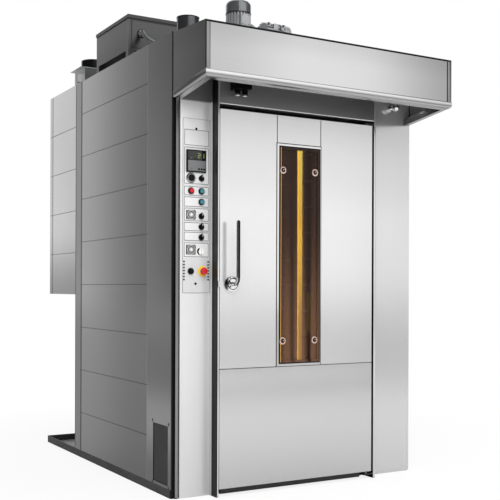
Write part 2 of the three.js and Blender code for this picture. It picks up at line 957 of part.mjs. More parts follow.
/** A rotary knob: a skirt, a raised grip with a pointed end, and a stem. */
function rotaryKnob(name, x, z) {
  const base = plateFront - fit;
  const skirt = frontKnob(
    [
      [0, 0],
      [knobRadius, 0],
      [knobRadius, knobSkirt],
      [knobRadius - 2, knobSkirt + 2],
      [0, knobSkirt + 2],
    ],
    x,
    base,
    z,
  );
  const half = knobGripWidth / 2;
  const grip = prism(
    'y',
    [
      [x - half, z - knobRadius + 2],
      [x + half, z - knobRadius + 2],
      [x + half, z + knobRadius - half],
      [x, z + knobPointer],
      [x - half, z + knobRadius - half],
    ],
    base - knobGripHeight,
    base,
  );
  const stem = round('y', stemRadius, x, z, base - 1, base + stemLength, 12);
  return piece(name, join(skirt, grip, stem), blackPlastic());
}

function controls() {
  const colors = { red_button: '#c01820', black_button: '#151515' };
  return stemDevices.map(([name, x, z]) => {
    if (name === 'emergency_stop') return emergencyStop(name, x, z);
    if (name.endsWith('button')) return pushButton(name, x, z, colors[name] ?? '#3f7f8c');
    return rotaryKnob(name, x, z);
  });
}

// ---------------------------------------------------------------- door frame, hood and lights
/** The portal: a frame round the doorway and two posts that stand forward beside the door. */
function doorFrame() {
  const [bottom, top] = [floorTop + fit, roofBottom - fit];
  const slab = block(frameLeft, frameRight, fit, frameDepth, bottom, top);
  const doorway = block(openingLeft, openingRight, -pass, pass, -pass, lintelUnderside);
  const pocket = (x0, x1, z0, z1) => block(x0, x1, fit + panSheet, frameDepth + pass, z0, z1);
  const upper = lintelUnderside + panSheet;
  const pockets = [
    pocket(frameLeft + panSheet, openingLeft - panSheet, bottom + panSheet, upper - panSheet),
    pocket(openingRight + panSheet, frameRight - panSheet, bottom + panSheet, upper - panSheet),
    pocket(frameLeft + panSheet, frameRight - panSheet, upper, top - panSheet),
  ];
  const post = (x) => block(x, x + postWidth, portalFace, 2 * fit, 0, portalTop);
  const keeperHeight = 20;
  const keeper = block(
    postLeft,
    postLeft + postWidth,
    portalFace - postWidth / 3,
    portalFace,
    handleZ - keeperHeight / 2,
    handleZ + keeperHeight / 2,
  );
  const upperBacking = block(postLeft, frameRight, fit, baseFront - fit, top - fit, portalTop);
  const posts = [post(postLeft), keeper, post(rightPostLeft)];
  return piece('door_frame', join(cut(slab, doorway, ...pockets), upperBacking, ...posts), darkSteel());
}

/** The folded panel over the door, flush with the two posts. */
function transomPanel() {
  const [left, right] = [postLeft + postWidth + fit, rightPostLeft - fit];
  const outline = [
    [portalFace, transomUnderside],
    [0, transomUnderside],
    [0, transomUnderside + sheet],
    [portalFace + sheet, transomUnderside + sheet],
    [portalFace + sheet, portalTop - sheet],
    [0, portalTop - sheet],
    [0, portalTop],
    [portalFace, portalTop],
  ];
  return piece('transom_panel', prism('x', outline, left, right), darkSteel());
}

function hoodShell() {
  const outer = [
    [-fit, hoodWallTop],
    [-hoodDepth, hoodFrontTop],
    [-hoodDepth, hoodFrontBottom],
    [-fit, hoodFrontBottom - hoodBottomFall],
  ];
  const inner = [
    [fit, hoodWallTop - hoodSheet],
    [hoodSheet - hoodDepth, hoodFrontTop - hoodSheet],
    [hoodSheet - hoodDepth, hoodFrontBottom - hoodDepth],
    [fit, hoodFrontBottom - hoodDepth],
  ];
  const shell = cut(
    prism('x', outer, 0, casingWidth),
    prism('x', inner, hoodSheet, casingWidth - hoodSheet),
  );
  return piece('hood_shell', shell, frontSteel());
}

/** The hollow trim that closes the lower edge of the hood on three sides. */
function hoodLip() {
  const top = hoodFrontBottom - fit;
  const slope = hoodBottomFall / (hoodDepth - fit);
  const front = prism(
    'x',
    [
      [-hoodDepth, top],
      [-hoodDepth - lipNose, top - lipNose],
      [-hoodDepth - lipNose, top - lipBevel - lipNose],
      [-hoodDepth + lipBevel, top - lipHeight],
      [-hoodDepth + lipWidth, top - lipHeight],
      [-hoodDepth + lipWidth, top - slope * lipWidth],
    ],
    0,
    casingWidth,
  );
  const fall = new THREE.Matrix4();
  fall.elements[6] = -slope;
  const side = (edge, inward) => {
    const shape = new THREE.Shape(
      [
        [edge, 0],
        [edge, -lipHeight / 2],
        [edge + inward * lipBevel, -lipHeight],
        [edge + inward * lipWidth, -lipHeight],
        [edge + inward * lipWidth, 0],
      ].map(point),
    );
    const geometry = new THREE.ExtrudeGeometry(shape, { depth: hoodDepth - fit, bevelEnabled: false });
    turned(geometry, 'y').translate(0, hoodDepth - fit, 0).applyMatrix4(fall);
    geometry.translate(0, -hoodDepth, top);
    return solid(geometry);
  };
  return piece('hood_lip', join(front, side(0, 1), side(casingWidth, -1)), frontSteel());
}

function leftSpotlight() {
  const back = portalFace - fit;
  const [right, top] = [spotLeft + spotWidth, spotBottom + spotHeight];
  const housing = block(spotLeft, right, back - spotDepth, back, spotBottom, top);
  const lamps = [1, 3].map((quarter) =>
    round(
      'z',
      spotLampRadius,
      spotLeft + (quarter * spotWidth) / 4,
      back - spotDepth / 2,
      spotBottom - spotLampDrop,
      spotBottom + 1,
      16,
    ),
  );
  return piece('left_spotlight', join(housing, ...lamps), blackPlastic());
}

function rightSpotlight() {
  const plate = round('y', bulbBaseRadius, bulbX, bulbZ, -fit - 12, -fit, 16);
  const arm = round('y', bulbBaseRadius / 2, bulbX, bulbZ, -bulbReach, -fit, 16);
  const ball = new THREE.SphereGeometry(bulbRadius, 16, 10);
  ball.translate(bulbX, -bulbReach, bulbZ);
  return piece('right_spotlight', join(plate, arm, solid(ball)), chrome());
}

// ---------------------------------------------------------------- door
function doorCore() {
  const front = portalFace + skin + fit;
  const slab = block(doorLeft, doorRight, front, doorBack, doorBottom, doorTop);
  const hole = (z0, z1) => round('z', pivotRadius + runningGap, hingeX, hingeY, z0, z1, 20);
  const depth = pivotReach + 2 * fit;
  const camFront = portalFace + camDepth;
  const sweep = Math.hypot(camLength, camWidth / 2) + runningGap;
  const camPocket = block(
    handleX - sweep,
    handleX + camWidth / 2 + runningGap,
    camFront - runningGap,
    camFront + camThickness + runningGap,
    handleZ - camWidth / 2 - runningGap,
    handleZ + sweep,
  );
  const spindleHole = round('y', handleRadius + runningGap, handleX, handleZ, -pass, camFront, 20);
  const window = block(
    glassLeft - glassRebate - fit,
    glassRight + glassRebate + fit,
    -pass,
    pass,
    glassBottom - glassRebate - fit,
    glassTop + glassRebate + fit,
  );
  const body = cut(
    slab,
    window,
    hole(doorTop - depth, doorTop + pass),
    hole(-pass, doorBottom + depth),
    camPocket,
    spindleHole,
  );
  return piece('door_core', body, insulation());
}

/** The upper door skin: two tall panels and the strip over the window, parted by open seams. */
function doorSkinUpper() {
  const [front, back] = [portalFace, portalFace + skin];
  const bottom = splitHeight + doorSeam / 2;
  const sheetBody = block(doorLeft, doorRight, front, back, bottom, doorTop);
  const groove = (x, z0, z1) =>
    block(x - doorSeam / 2, x + doorSeam / 2, front - fit, front + skin / 2, z0, z1);
  const windowHole = block(
    windowLeft - fit,
    windowRight + fit,
    -pass,
    pass,
    bottom - pass,
    windowTop + fit,
  );
  const spindle = round('y', handleRadius + runningGap, handleX, handleZ, -pass, pass, 20);
  const body = cut(
    sheetBody,
    groove(windowLeft, windowTop - fit, doorTop + pass),
    groove(windowRight, windowTop - fit, doorTop + pass),
    windowHole,
    spindle,
  );
  return piece('door_skin_upper', body, frontSteel());
}

function doorSkinLower() {
  const top = splitHeight - doorSeam / 2;
  const body = block(doorLeft, doorRight, portalFace, portalFace + skin, doorBottom, top);
  return piece('door_skin_lower', body, frontSteel());
}

function windowFrame() {
  const [front, back] = [portalFace - frameLip, portalFace + skin];
  const bottom = splitHeight + doorSeam / 2 + fit;
  const ring = block(windowLeft, windowRight, front, back, bottom, windowTop);
  const opening = block(glassLeft, glassRight, -pass, pass, glassBottom, glassTop);
  return piece('window_frame', cut(ring, opening), chrome());
}

function glassPane(name, front) {
  const body = block(
    glassLeft - glassRebate,
    glassRight + glassRebate,
    front,
    front + glassThickness,
    glassBottom - glassRebate,
    glassTop + glassRebate,
  );
  return piece(name, body, brownGlass());
}

/** The rubber ring on the door's back with the blade that sweeps under the door. */
function doorSeal() {
  const [front, back] = [doorBack + fit, doorBack + fit + sealThickness];
  const [left, right] = [doorLeft + sealInset, doorRight - sealInset - hingeInset];
  const [bottom, top] = [doorBottom + sealInset, doorTop - sealInset];
  const ring = cut(
    block(left, right, front, back, bottom, top),
    block(left + sealWidth, right - sealWidth, -pass, pass, bottom + sealWidth, top - sealWidth),
  );
  const bladeRight = hingeX - bracketWidth;
  const bladeFront = portalFace + sweepInset;
  const blade = block(left, bladeRight, bladeFront, back, sweepBottom, doorBottom - fit);
  const tie = block(left, bladeRight, front, back, sweepBottom, bottom + sealWidth);
  return piece('door_seal', join(ring, tie, blade), rubber());
}

function handleRose() {
  const edge = 4;
  const rose = frontKnob(
    [
      [0, 0],
      [roseRadius, 0],
      [roseRadius, roseHeight / 2],
      [roseRadius - edge, roseHeight - edge],
      [roseRadius - 3 * edge, roseHeight],
      [0, roseHeight],
    ],
    handleX,
    portalFace - fit,
    handleZ,
    36,
  );
  const bore = round('y', handleRadius + runningGap, handleX, handleZ, -2 * pass, pass, 20);
  return piece('handle_rose', cut(rose, bore), chrome());
}

/** The spindle, its cam inside the door, and the bar that rises in front of the door. */
function handleLever() {
  const barY = portalFace - handleReach;
  const camFront = portalFace + camDepth;
  const bend = new THREE.CurvePath();
  const corner = new THREE.Vector3(handleX, barY, handleZ);
  const start = new THREE.Vector3(handleX, camFront + camThickness / 2, handleZ);
  const bendStart = new THREE.Vector3(handleX, barY + handleBend, handleZ);
  const bendEnd = new THREE.Vector3(handleX, barY, handleZ + handleBend);
  const end = new THREE.Vector3(handleX, barY, handleTop);
  bend.add(new THREE.LineCurve3(start, bendStart));
  bend.add(new THREE.QuadraticBezierCurve3(bendStart, corner, bendEnd));
  bend.add(new THREE.LineCurve3(bendEnd, end));
  const section = new THREE.Shape();
  section.absarc(0, 0, handleRadius, 0, 2 * Math.PI);
  const bar = new THREE.ExtrudeGeometry(section, { steps: 22, curveSegments: 6, extrudePath: bend });
  const camShape = new THREE.Shape();
  camShape.moveTo(handleX - camLength, handleZ - camWidth / 2);
  camShape.absarc(handleX, handleZ, camWidth / 2, -Math.PI / 2, Math.PI / 2);
  camShape.lineTo(handleX - camLength, handleZ + camWidth / 2);
  const cam = prism('y', camShape, camFront, camFront + camThickness);
  const cap = new THREE.SphereGeometry(handleRadius, 16, 8);
  cap.translate(handleX, barY, handleTop);
  return piece('handle_lever', join(solid(bar), solid(cap), cam), chrome());
}

/** A plate from the hinge side post that carries one pivot of the door. */
function hingeBracket(name, plateBottomZ, pivotEnd) {
  const right = rightPostLeft - fit;
  const plateTopZ = plateBottomZ + bracketThickness;
  const front = portalFace + frameLip;
  const plate = block(hingeX - bracketWidth / 2, right, front, -fit, plateBottomZ, plateTopZ);
  const [z0, z1] = pivotEnd < plateBottomZ ? [pivotEnd, plateTopZ] : [plateBottomZ, pivotEnd];
  return piece(name, join(plate, round('z', pivotRadius, hingeX, hingeY, z0, z1, 20)), darkSteel());
}

// ---------------------------------------------------------------- rear unit and flue
/** The housing behind the body, open towards it, with coursed walls and a rear edge trim. */
function rearUnit() {
  let body = block(0, casingWidth, rearUnitFront, rearUnitBack, rearUnitBottom, casingHeight);
  const cavity = block(
    rearUnitWall,
    casingWidth - rearUnitWall,
    rearUnitFront - pass,
    rearUnitBack - rearUnitWall,
    rearUnitBottom + rearUnitWall,
    casingHeight - rearUnitWall,
  );
  const roofUnderside = casingHeight - rearUnitWall - fit;
  const flueHole = round('z', flueBore, flueX, flueY, roofUnderside, casingHeight + pass);
  body = cut(body, cavity, flueHole);
  const trimLine = rearUnitBack - rearTrimWidth;
  for (const x of [0, casingWidth]) {
    const [x0, x1] = [x - seamDepth, x + seamDepth];
    for (const z of seamHeights(courseHeight, rearUnitBottom)) {
      body = cut(body, block(x0, x1, rearUnitFront - pass, trimLine - seamWidth / 2, z - seamWidth, z));
    }
    const [low, high] = [rearUnitBottom - pass, casingHeight + pass];
    body = cut(body, block(x0, x1, trimLine - seamWidth, trimLine, low, high));
  }
  return piece('rear_unit', body, rearSteel());
}

/** The fired drum and its bank of tubes between two tube sheets that stand on feet. */
function heatExchanger() {
  const inset = rearUnitWall + rearInsulation;
  const [left, right] = [inset, casingWidth - inset];
  const [front, back] = [casingDepth + rearInsulation, rearUnitBack - inset];
  const floor = rearUnitBottom + rearUnitWall + fit;
  const [bottom, top] = [floor + exchangerFoot, casingHeight - inset];
  const middle = (front + back) / 2;
  const drumZ = bottom + exchangerMargin + drumRadius;
  const sheets = [left, right - tubeSheet].flatMap((x) => [
    block(x, x + tubeSheet, front, back, bottom, top),
    block(x, x + tubeSheet, front, front + exchangerFoot, floor, bottom + 1),
    block(x, x + tubeSheet, back - exchangerFoot, back, floor, bottom + 1),
  ]);
  const tubes = [[middle, drumZ, drumRadius, 32]];
  const rows = tubeCount / 2;
  const pitch = (top - drumZ - drumRadius) / rows;
  for (let i = 0; i < tubeCount; i += 1) {
    const y = middle + (i % 2 === 0 ? -1 : 1) * 2 * tubeRadius;
    const z = drumZ + drumRadius + pitch * (Math.floor(i / 2) + 1 / 2);
    tubes.push([y, z, tubeRadius, 16]);
  }
  const walls = tubes.map(([y, z, radius, sides]) =>
    round('x', radius, y, z, left + 1, right - 1, sides),
  );
  const bores = tubes.map(([y, z, radius, sides]) =>
    round('x', radius - tubeWall, y, z, left - pass, right + pass, sides),
  );
  return piece('heat_exchanger', cut(join(...sheets, ...walls), ...bores), castIron());
}

function flue() {
  const bottom = casingHeight + fit;
  const baseTop = bottom + flueBaseHeight;
  const half = flueSide / 2;
  const body = cut(
    join(
      block(flueX - half, flueX + half, flueY - half, flueY + half, bottom, baseTop),
      round('z', fluePipeRadius, flueX, flueY, baseTop - 1, baseTop + fluePipeHeight, 40),
    ),
    round('z', flueBore, flueX, flueY, bottom - pass, bottom + 3 * pass, 40),
    round(
      'x',
      damperShaftRadius + runningGap,
      flueY,
      casingHeight + damperHeight,
      flueX - flueSide,
      flueX + half - 8,
      16,
    ),
  );
  return piece('flue', body, galvanised());
}

/** The round blade in the flue on its shaft, with the lever outside. */
function flueDamper() {
  const z = casingHeight + damperHeight;
  const blade = round(
    'y',
    flueBore - 2,
    flueX,
    z,
    flueY - damperThickness / 2,
    flueY + damperThickness / 2,
    32,
  );
  const shaftLeft = flueX - flueSide / 2 - damperOverhang;
  const shaftRight = flueX + flueSide / 2 - 8 - fit;
  const shaft = round('x', damperShaftRadius, flueY, z, shaftLeft, shaftRight, 16);
  const lever = block(
    shaftLeft,
    shaftLeft + damperShaftRadius,
    flueY - leverWidth / 2,
    flueY + leverWidth / 2,
    z - leverWidth / 2,
    z + leverLength,
  );
  return piece('flue_damper', join(blade, shaft, lever), galvanised());
}

// ---------------------------------------------------------------- roof equipment
function steamOutlet() {
  const bottom = casingHeight + fit;
  const flangeHeight = 4;
  const body = cut(
    join(
      round('z', outletRadius + outletFlange, outletX, outletY, bottom, bottom + flangeHeight, 40),
      round('z', outletRadius, outletX, outletY, bottom, bottom + outletHeight, 40),
    ),
    round('z', outletBore, outletX, outletY, bottom - pass, bottom + 2 * pass, 40),
  );
  return piece('steam_outlet', body, darkSteel());
}

const fanBoxRight = fanBoxLeft + fanBoxWidth;
const fanBoxBack = fanBoxFront + fanBoxDepth;
const fanBoxTop = fanBoxBottom + fanBoxHeight;

function fanHousing() {
  const box = block(fanBoxLeft, fanBoxRight, fanBoxFront, fanBoxBack, fanBoxBottom, fanBoxTop);
  const legs = [fanBoxLeft, fanBoxRight - legSize].flatMap((x) =>
    [fanBoxFront, fanBoxBack - legSize].map((y) =>
      block(x, x + legSize, y, y + legSize, casingHeight + fit, fanBoxBottom + 1),
    ),
  );
  const hollow = block(
    fanBoxLeft + fanBoxWall,
    fanBoxRight - fanBoxWall,
    fanBoxFront + fanBoxWall,
    fanBoxBack - fanBoxWall,
    fanBoxBottom + fanBoxWall,
    fanBoxTop + pass,
  );
  const shaftHole = round(
    'z',
    fanShaftRadius + runningGap,
    fanX,
    fanY,
    fanBoxBottom - pass,
    fanBoxTop,
    20,
  );
  return piece('fan_housing', cut(join(box, ...legs), hollow, shaftHole), sideSteel());
}

/** The folded lid that rests on the housing's rim, its skirt outside the walls. */
function fanHousingLid() {
  const [seat, top] = [fanBoxTop + fit, fanBoxTop + fit + lidSheet];
  const tray = (overhang, z0, z1) =>
    block(
      fanBoxLeft - overhang,
      fanBoxRight + overhang,
      fanBoxFront - overhang,
      fanBoxBack + overhang,
      z0,
      z1,
    );
  const body = cut(
    tray(lidOverhang, top - lidSkirt, top),
    tray(lidOverhang - lidSheet, top - lidSkirt - pass, seat),
  );
  return piece('fan_housing_lid', body, sideSteel());
}

function fanMotor() {
  const bottom = fanBoxBottom + fanBoxWall + fit;
  const shoulder = 20;
  const geometry = revolve(
    [
      [0, 0],
      [fanMotorRadius, 0],
      [fanMotorRadius, fanMotorHeight - shoulder],
      [fanMotorRadius - shoulder, fanMotorHeight],
      [0, fanMotorHeight],
    ],
    32,
  );
  geometry.translate(fanX, fanY, bottom);
  return piece('fan_motor', solid(geometry), castIron());
}

/** One blade, swept back from the hub: a strip whose middle line is a spiral arc. */
function bladeOutline(start) {
  const steps = 5;
  const inner = wheelInlet * 0.8;
  const side = (offset) =>
    Array.from({ length: steps + 1 }, (_, i) => {
      const share = i / steps;
      const radius = inner + (wheelRadius - 2 - inner) * share;
      const angle = start - bladeSweep * share * share;
      const normal = offset / radius;
      return [radius * Math.cos(angle + normal), radius * Math.sin(angle + normal)];
    });
  return [...side(-bladeThickness / 2), ...side(bladeThickness / 2).reverse()];
}

/** The centrifugal wheel over the ceiling: a back plate, swept blades, an inlet ring and a shaft. */
function fanWheel() {
  const top = wheelBottom + wheelHeight;
  const backPlate = round('z', wheelRadius, 0, 0, top - wheelPlate, top, 36);
  const ring = cut(
    round('z', wheelRadius, 0, 0, wheelBottom, wheelBottom + wheelPlate, 36),
    round('z', wheelInlet, 0, 0, wheelBottom - fit, wheelBottom + 2 * wheelPlate, 36),
  );
  const blades = Array.from({ length: bladeCount }, (_, i) =>
    prism('z', bladeOutline((2 * Math.PI * i) / bladeCount), wheelBottom + 1, top - 1),
  );
  const hub = round('z', hubRadius, 0, 0, wheelBottom + wheelHeight / 3, top + wheelPlate, 24);
  const shaft = round('z', fanShaftRadius, 0, 0, top, fanBoxBottom + fanBoxWall, 20);
  const mesh = piece('fan_wheel', join(backPlate, ring, hub, shaft, ...blades), rearSteel());
  mesh.position.set(fanX, fanY, 0);
  return mesh;
}

/** The ribbed conduit: a bore and a run of ribs along a bent line, as one closed skin. */
function conduit() {
  const front = fanBoxFront - fit;
  const bottom = casingHeight + fit;
  const straight = 2 * conduitRadius;
  const start = new THREE.Vector3(conduitX, front, conduitZ);
  const leave = new THREE.Vector3(conduitX, front - straight, conduitZ);
  const arrive = new THREE.Vector3(conduitEndX, conduitEndY, bottom + straight);
  const end = new THREE.Vector3(conduitEndX, conduitEndY, bottom);
  const reach = (front - conduitEndY) / 3;
  const run = new THREE.CurvePath();
  run.add(new THREE.LineCurve3(start, leave));
  run.add(
    new THREE.CubicBezierCurve3(
      leave,
      leave.clone().add(new THREE.Vector3(0, -reach / 3, -reach / 7)),
      arrive.clone().add(new THREE.Vector3(0, reach / 5, (2 * reach) / 5)),
      arrive,
    ),
  );
  run.add(new THREE.LineCurve3(arrive, end));

  const positions = [];
  const faces = [];
  const rings = 2 * conduitRibs;
  const frames = run.computeFrenetFrames(rings, false);
  const side = new THREE.Vector3(1, 0, 0);
  const ringAt = (step, radius) => {
    const centre = run.getPointAt(step / rings);
    const across = side.clone().cross(frames.tangents[step]).normalize();
    const other = frames.tangents[step].clone().cross(across).normalize();
    for (let k = 0; k < conduitSides; k += 1) {
      const angle = (2 * Math.PI * k) / conduitSides;
      const spoke = across.clone().multiplyScalar(radius * Math.cos(angle));
      spoke.addScaledVector(other, radius * Math.sin(angle));
      positions.push(...centre.clone().add(spoke).toArray());
    }
  };
  const band = (a, b) => {
    for (let k = 0; k < conduitSides; k += 1) {
      const next = (k + 1) % conduitSides;
      faces.push(a + k, a + next, b + k, a + next, b + next, b + k);
    }
  };
  for (let step = 0; step <= rings; step += 1) {
    ringAt(step, step % 2 === 0 ? conduitRadius : conduitRadius - conduitRib);
    if (step > 0) band((step - 1) * conduitSides, step * conduitSides);
  }
  const boreStart = positions.length / 3;
  const boreSteps = Array.from(
    { length: Math.floor(rings / (2 * ribsPerBoreRing)) },
    (_, i) => i * 2 * ribsPerBoreRing,
  );
  boreSteps.push(rings);
  boreSteps.forEach((step, i) => {
    ringAt(step, conduitBore);
    if (i > 0) band(boreStart + i * conduitSides, boreStart + (i - 1) * conduitSides);
  });
  band(boreStart, 0);
  band(rings * conduitSides, boreStart + (boreSteps.length - 1) * conduitSides);
  const geometry = new THREE.BufferGeometry();
  geometry.setAttribute('position', new THREE.Float32BufferAttribute(positions, 3));
  geometry.setIndex(faces);
  return piece('conduit', solid(geometry), galvanised());
}

/** The gearbox on the roof with the finned motor standing on it. */
function gearMotor() {
  const half = gearboxSide / 2;
  const bottom = casingHeight + fit;
  const box = block(-half, half, -half, half, bottom, gearboxTop);
  const adapter = round('z', adapterRadius, 0, 0, gearboxTop - 1, motorBottom + 1, 32);
  const body = prism('z', finnedOutline(motorRoot, motorRadius, finCount), motorBottom, motorTop);
  const terminal = block(
    -terminalWidth / 2,
    terminalWidth / 2,
    -motorRadius - terminalDepth / 2,
    -motorRoot / 2,
    motorTop - terminalHeight - terminalDepth / 2,
    motorTop - terminalDepth / 2,
  );
  const mesh = piece('gear_motor', join(box, adapter, body, terminal), castIron());
  mesh.position.set(rackX, rackY, 0);
  return mesh;
}

function motorCowl() {
  const profile = [[0, 0], [cowlRadius, 0], [cowlRadius, cowlHeight - cowlShoulder]];
  const steps = 4;
  for (let i = 1; i <= steps; i += 1) {
    const angle = (Math.PI / 2) * (i / steps) * 0.8;
    profile.push([
      cowlRadius - cowlShoulder * (1 - Math.cos(angle)),
      cowlHeight - cowlShoulder + cowlShoulder * Math.sin(angle),
    ]);
  }
  profile.push(
    [cowlCapRadius, cowlHeight],
    [cowlCapRadius, cowlHeight + cowlCapHeight],
    [0, cowlHeight + cowlCapHeight],
  );
  const geometry = revolve(profile, 40);
  geometry.translate(rackX, rackY, motorTop + fit);
  return piece('motor_cowl', solid(geometry), darkSteel());
}

/** The drive shaft through the roof with the two-armed hook that lifts the rack. */
function rackHook() {
  const half = hookBarLength / 2;
  const shaft = round('z', shaftRadius, 0, 0, hookTop - 1, casingHeight, 32);
  const bar = block(-half, half, -hookBarWidth / 2, hookBarWidth / 2, hookTop - hookBarHeight, hookTop);
  const hookOutline = (side) => {
    const outer = side * half;
    const inner = side * (half - hookThickness);
    const toe = side * (half - 3 * hookThickness);
    const bottom = hookTop - hookDrop;
    return [
      [outer, hookTop - hookBarHeight + 1],
      [outer, bottom],
      [toe, bottom],
      [toe, bottom + 2 * hookThickness],
      [toe + side * hookThickness, bottom + hookThickness],
      [inner, bottom + hookThickness],
      [inner, hookTop - hookBarHeight + 1],
    ];
  };
  const hooks = [-1, 1].map((side) =>
    prism('y', hookOutline(side), -hookBarWidth / 2, hookBarWidth / 2),
  );
  const mesh = piece('rack_hook', join(shaft, bar, ...hooks), rearSteel());
  mesh.position.set(rackX, rackY, 0);
  return mesh;
}

/** The motor of the steam extractor, lying on a foot plate behind the hood. */
function extractorMotor() {
  const half = extractorLength / 2;
  const bottom = casingHeight + fit - extractorZ;
  const outline = finnedOutline(extractorRoot, extractorRadius, extractorFins);
  const body = prism('x', outline, -half, half / 2);
  const cowl = round('x', extractorRadius, 0, 0, half / 2 - 1, half, 32);
  const footTop = bottom + extractorFootThickness;
  const foot = block(-half, half, -extractorFoot, extractorFoot, bottom, footTop);
  const web = block(-half / 2, half / 2, -extractorWeb, extractorWeb, bottom, -extractorRoot / 2);
  const mesh = piece('extractor_motor', join(body, cowl, foot, web), castIron());
  mesh.position.set(rackX, extractorY, extractorZ);
  return mesh;
}

// ---------------------------------------------------------------- assembly
const outerGlassFront = portalFace + skin + 2 * fit;

const oven = new THREE.Group();
oven.add(
  baseFrame(),
  chamberFloor(),
  leftWall(),
  rightWall(),
  rearWall(),
  roofPanel(),
  chamberCeiling(),
  airDiffuser(),
  steamGenerator(),
  leftCladding(),
  rightCladding(),
  leftRearPost(),
  leftFrontPanel(),
  ventGrille(),
  cornerProfile(),
  controlColumn(),
  rightColumn(),
  controlPlate(),
  controller(),
  ...controls(),
  doorFrame(),
  transomPanel(),
  hoodShell(),
  hoodLip(),
  leftSpotlight(),
  rightSpotlight(),
  doorCore(),
  doorSkinUpper(),
  doorSkinLower(),
  windowFrame(),
  glassPane('outer_glass', outerGlassFront),
  glassPane('inner_glass', outerGlassFront + paneSpacing),
  doorSeal(),
  handleRose(),
  handleLever(),
  hingeBracket('upper_hinge', doorTop + upperBracketHeight, doorTop - pivotReach),
  hingeBracket('lower_hinge', doorBottom - lowerBracketDrop, doorBottom + pivotReach),
  rearUnit(),
  heatExchanger(),
  flue(),
  flueDamper(),
  steamOutlet(),
  fanHousing(),
  fanHousingLid(),
  fanMotor(),
  fanWheel(),
  conduit(),
  gearMotor(),
  motorCowl(),
  rackHook(),
  extractorMotor(),
);
oven.position.set(-casingWidth / 2, -footprintMiddle, 0);

const group = new THREE.Group();
group.add(oven);

export default group;
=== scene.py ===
"""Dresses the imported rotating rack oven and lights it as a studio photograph.

Lengths in the classes are millimetres from the casing's front left bottom corner: X runs to the
right along the front, Y to the back and Z up. The function place turns them into the metres of
the shared frame. Profiles of turned parts are pairs of radius and distance along the axis.
"""

import logging
import math
from dataclasses import dataclass
from enum import Enum

import bmesh
import bpy
from mathutils import Matrix, Vector
from mathutils.geometry import interpolate_bezier


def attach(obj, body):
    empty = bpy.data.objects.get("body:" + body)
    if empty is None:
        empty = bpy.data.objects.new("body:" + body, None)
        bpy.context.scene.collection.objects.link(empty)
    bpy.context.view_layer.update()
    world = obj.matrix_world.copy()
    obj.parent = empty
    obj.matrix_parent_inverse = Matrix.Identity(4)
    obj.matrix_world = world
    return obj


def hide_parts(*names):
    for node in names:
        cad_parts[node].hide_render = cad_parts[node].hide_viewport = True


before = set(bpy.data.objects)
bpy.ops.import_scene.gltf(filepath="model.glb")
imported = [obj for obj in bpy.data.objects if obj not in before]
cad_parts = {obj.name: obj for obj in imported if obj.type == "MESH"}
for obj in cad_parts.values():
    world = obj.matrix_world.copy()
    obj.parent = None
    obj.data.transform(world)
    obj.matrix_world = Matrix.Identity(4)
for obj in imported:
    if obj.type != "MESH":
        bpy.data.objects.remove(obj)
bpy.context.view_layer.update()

LOG = logging.getLogger("rack_oven")
MM = 0.001
CORNER = Vector((780.0, 827.5, 0.0))  # from the casing's corner to the frame's origin
PHOTO_SIDE = 500  # pixels
ROUNDED_FROM = math.radians(35)  # a sharper edge gets its rounding
CREASED_FROM = math.radians(32)  # a sharper edge isn't shaded smooth

Socket = bpy.types.NodeSocket
Tree = bpy.types.NodeTree
Inputs = bpy.types.bpy_prop_collection
Mesh = bmesh.types.BMesh
Profile = list[tuple[float, float]]
Colour = tuple[float, float, float, float]


# ---------------------------------------------------------------- places and colours
def place(x: float, y: float, z: float) -> Vector:
    """Turns a place on the casing into metres in the shared frame.

    Args:
        x: Millimetres to the right of the casing's left side.
        y: Millimetres behind the front columns.
        z: Millimetres above the floor.

    Returns:
        The place in metres.
    """
    return (Vector((x, y, z)) - CORNER) * MM


def linear(hex_colour: str) -> Colour:
    """Turns an sRGB hex colour into linear red, green, blue and a full alpha.

    Args:
        hex_colour: Six hexadecimal digits after a hash.

    Returns:
        The linear colour.
    """
    parts = [int(hex_colour[i : i + 2], 16) / 255 for i in (1, 3, 5)]
    values = [p / 12.92 if p <= 0.04045 else ((p + 0.055) / 1.055) ** 2.4 for p in parts]
    return (values[0], values[1], values[2], 1.0)


def grey(level: float) -> Colour:
    """Returns an opaque linear grey of a level from 0 to 1."""
    return (level, level, level, 1.0)


class Axis(Enum):
    """The three directions of the frame."""

    X = 0
    Y = 1
    Z = 2


# ---------------------------------------------------------------- shader nodes
def add_node(tree: Tree, kind: str, inputs: dict | None = None, **settings) -> bpy.types.Node:
    """Adds a node with its settings and what goes into it.

    Args:
        tree: The node tree.
        kind: The node's type.
        inputs: Constants or output sockets, by input name or number.
        **settings: Properties of the node itself.

    Returns:
        The new node.
    """
    node = tree.nodes.new(kind)
    for name, value in settings.items():
        setattr(node, name, value)
    for name, value in (inputs or {}).items():
        if isinstance(value, Socket):
            tree.links.new(value, node.inputs[name])
        else:
            node.inputs[name].default_value = value
    return node


def maths(tree: Tree, operation: str, *terms: Socket | float) -> Socket:
    """Returns the result of an operation on its terms in order."""
    inputs = dict(enumerate(terms))
    return add_node(tree, "ShaderNodeMath", inputs, operation=operation).outputs[0]


def ranged(
    tree: Tree,
    value: Socket,
    start: float,
    end: float,
    low: float = 0.0,
    high: float = 1.0,
    smooth: bool = False,
) -> Socket:
    """Maps a value from one range to another.

    Args:
        tree: The node tree.
        value: The value's socket.
        start: The result at the low value.
        end: The result at the high value.
        low: The low value.
        high: The high value.
        smooth: Whether the ends are eased.

    Returns:
        The result's socket.
    """
    inputs = {"From Min": low, "From Max": high, "To Min": start, "To Max": end, "Value": value}
    kind = "SMOOTHSTEP" if smooth else "LINEAR"
    return add_node(tree, "ShaderNodeMapRange", inputs, interpolation_type=kind).outputs[0]


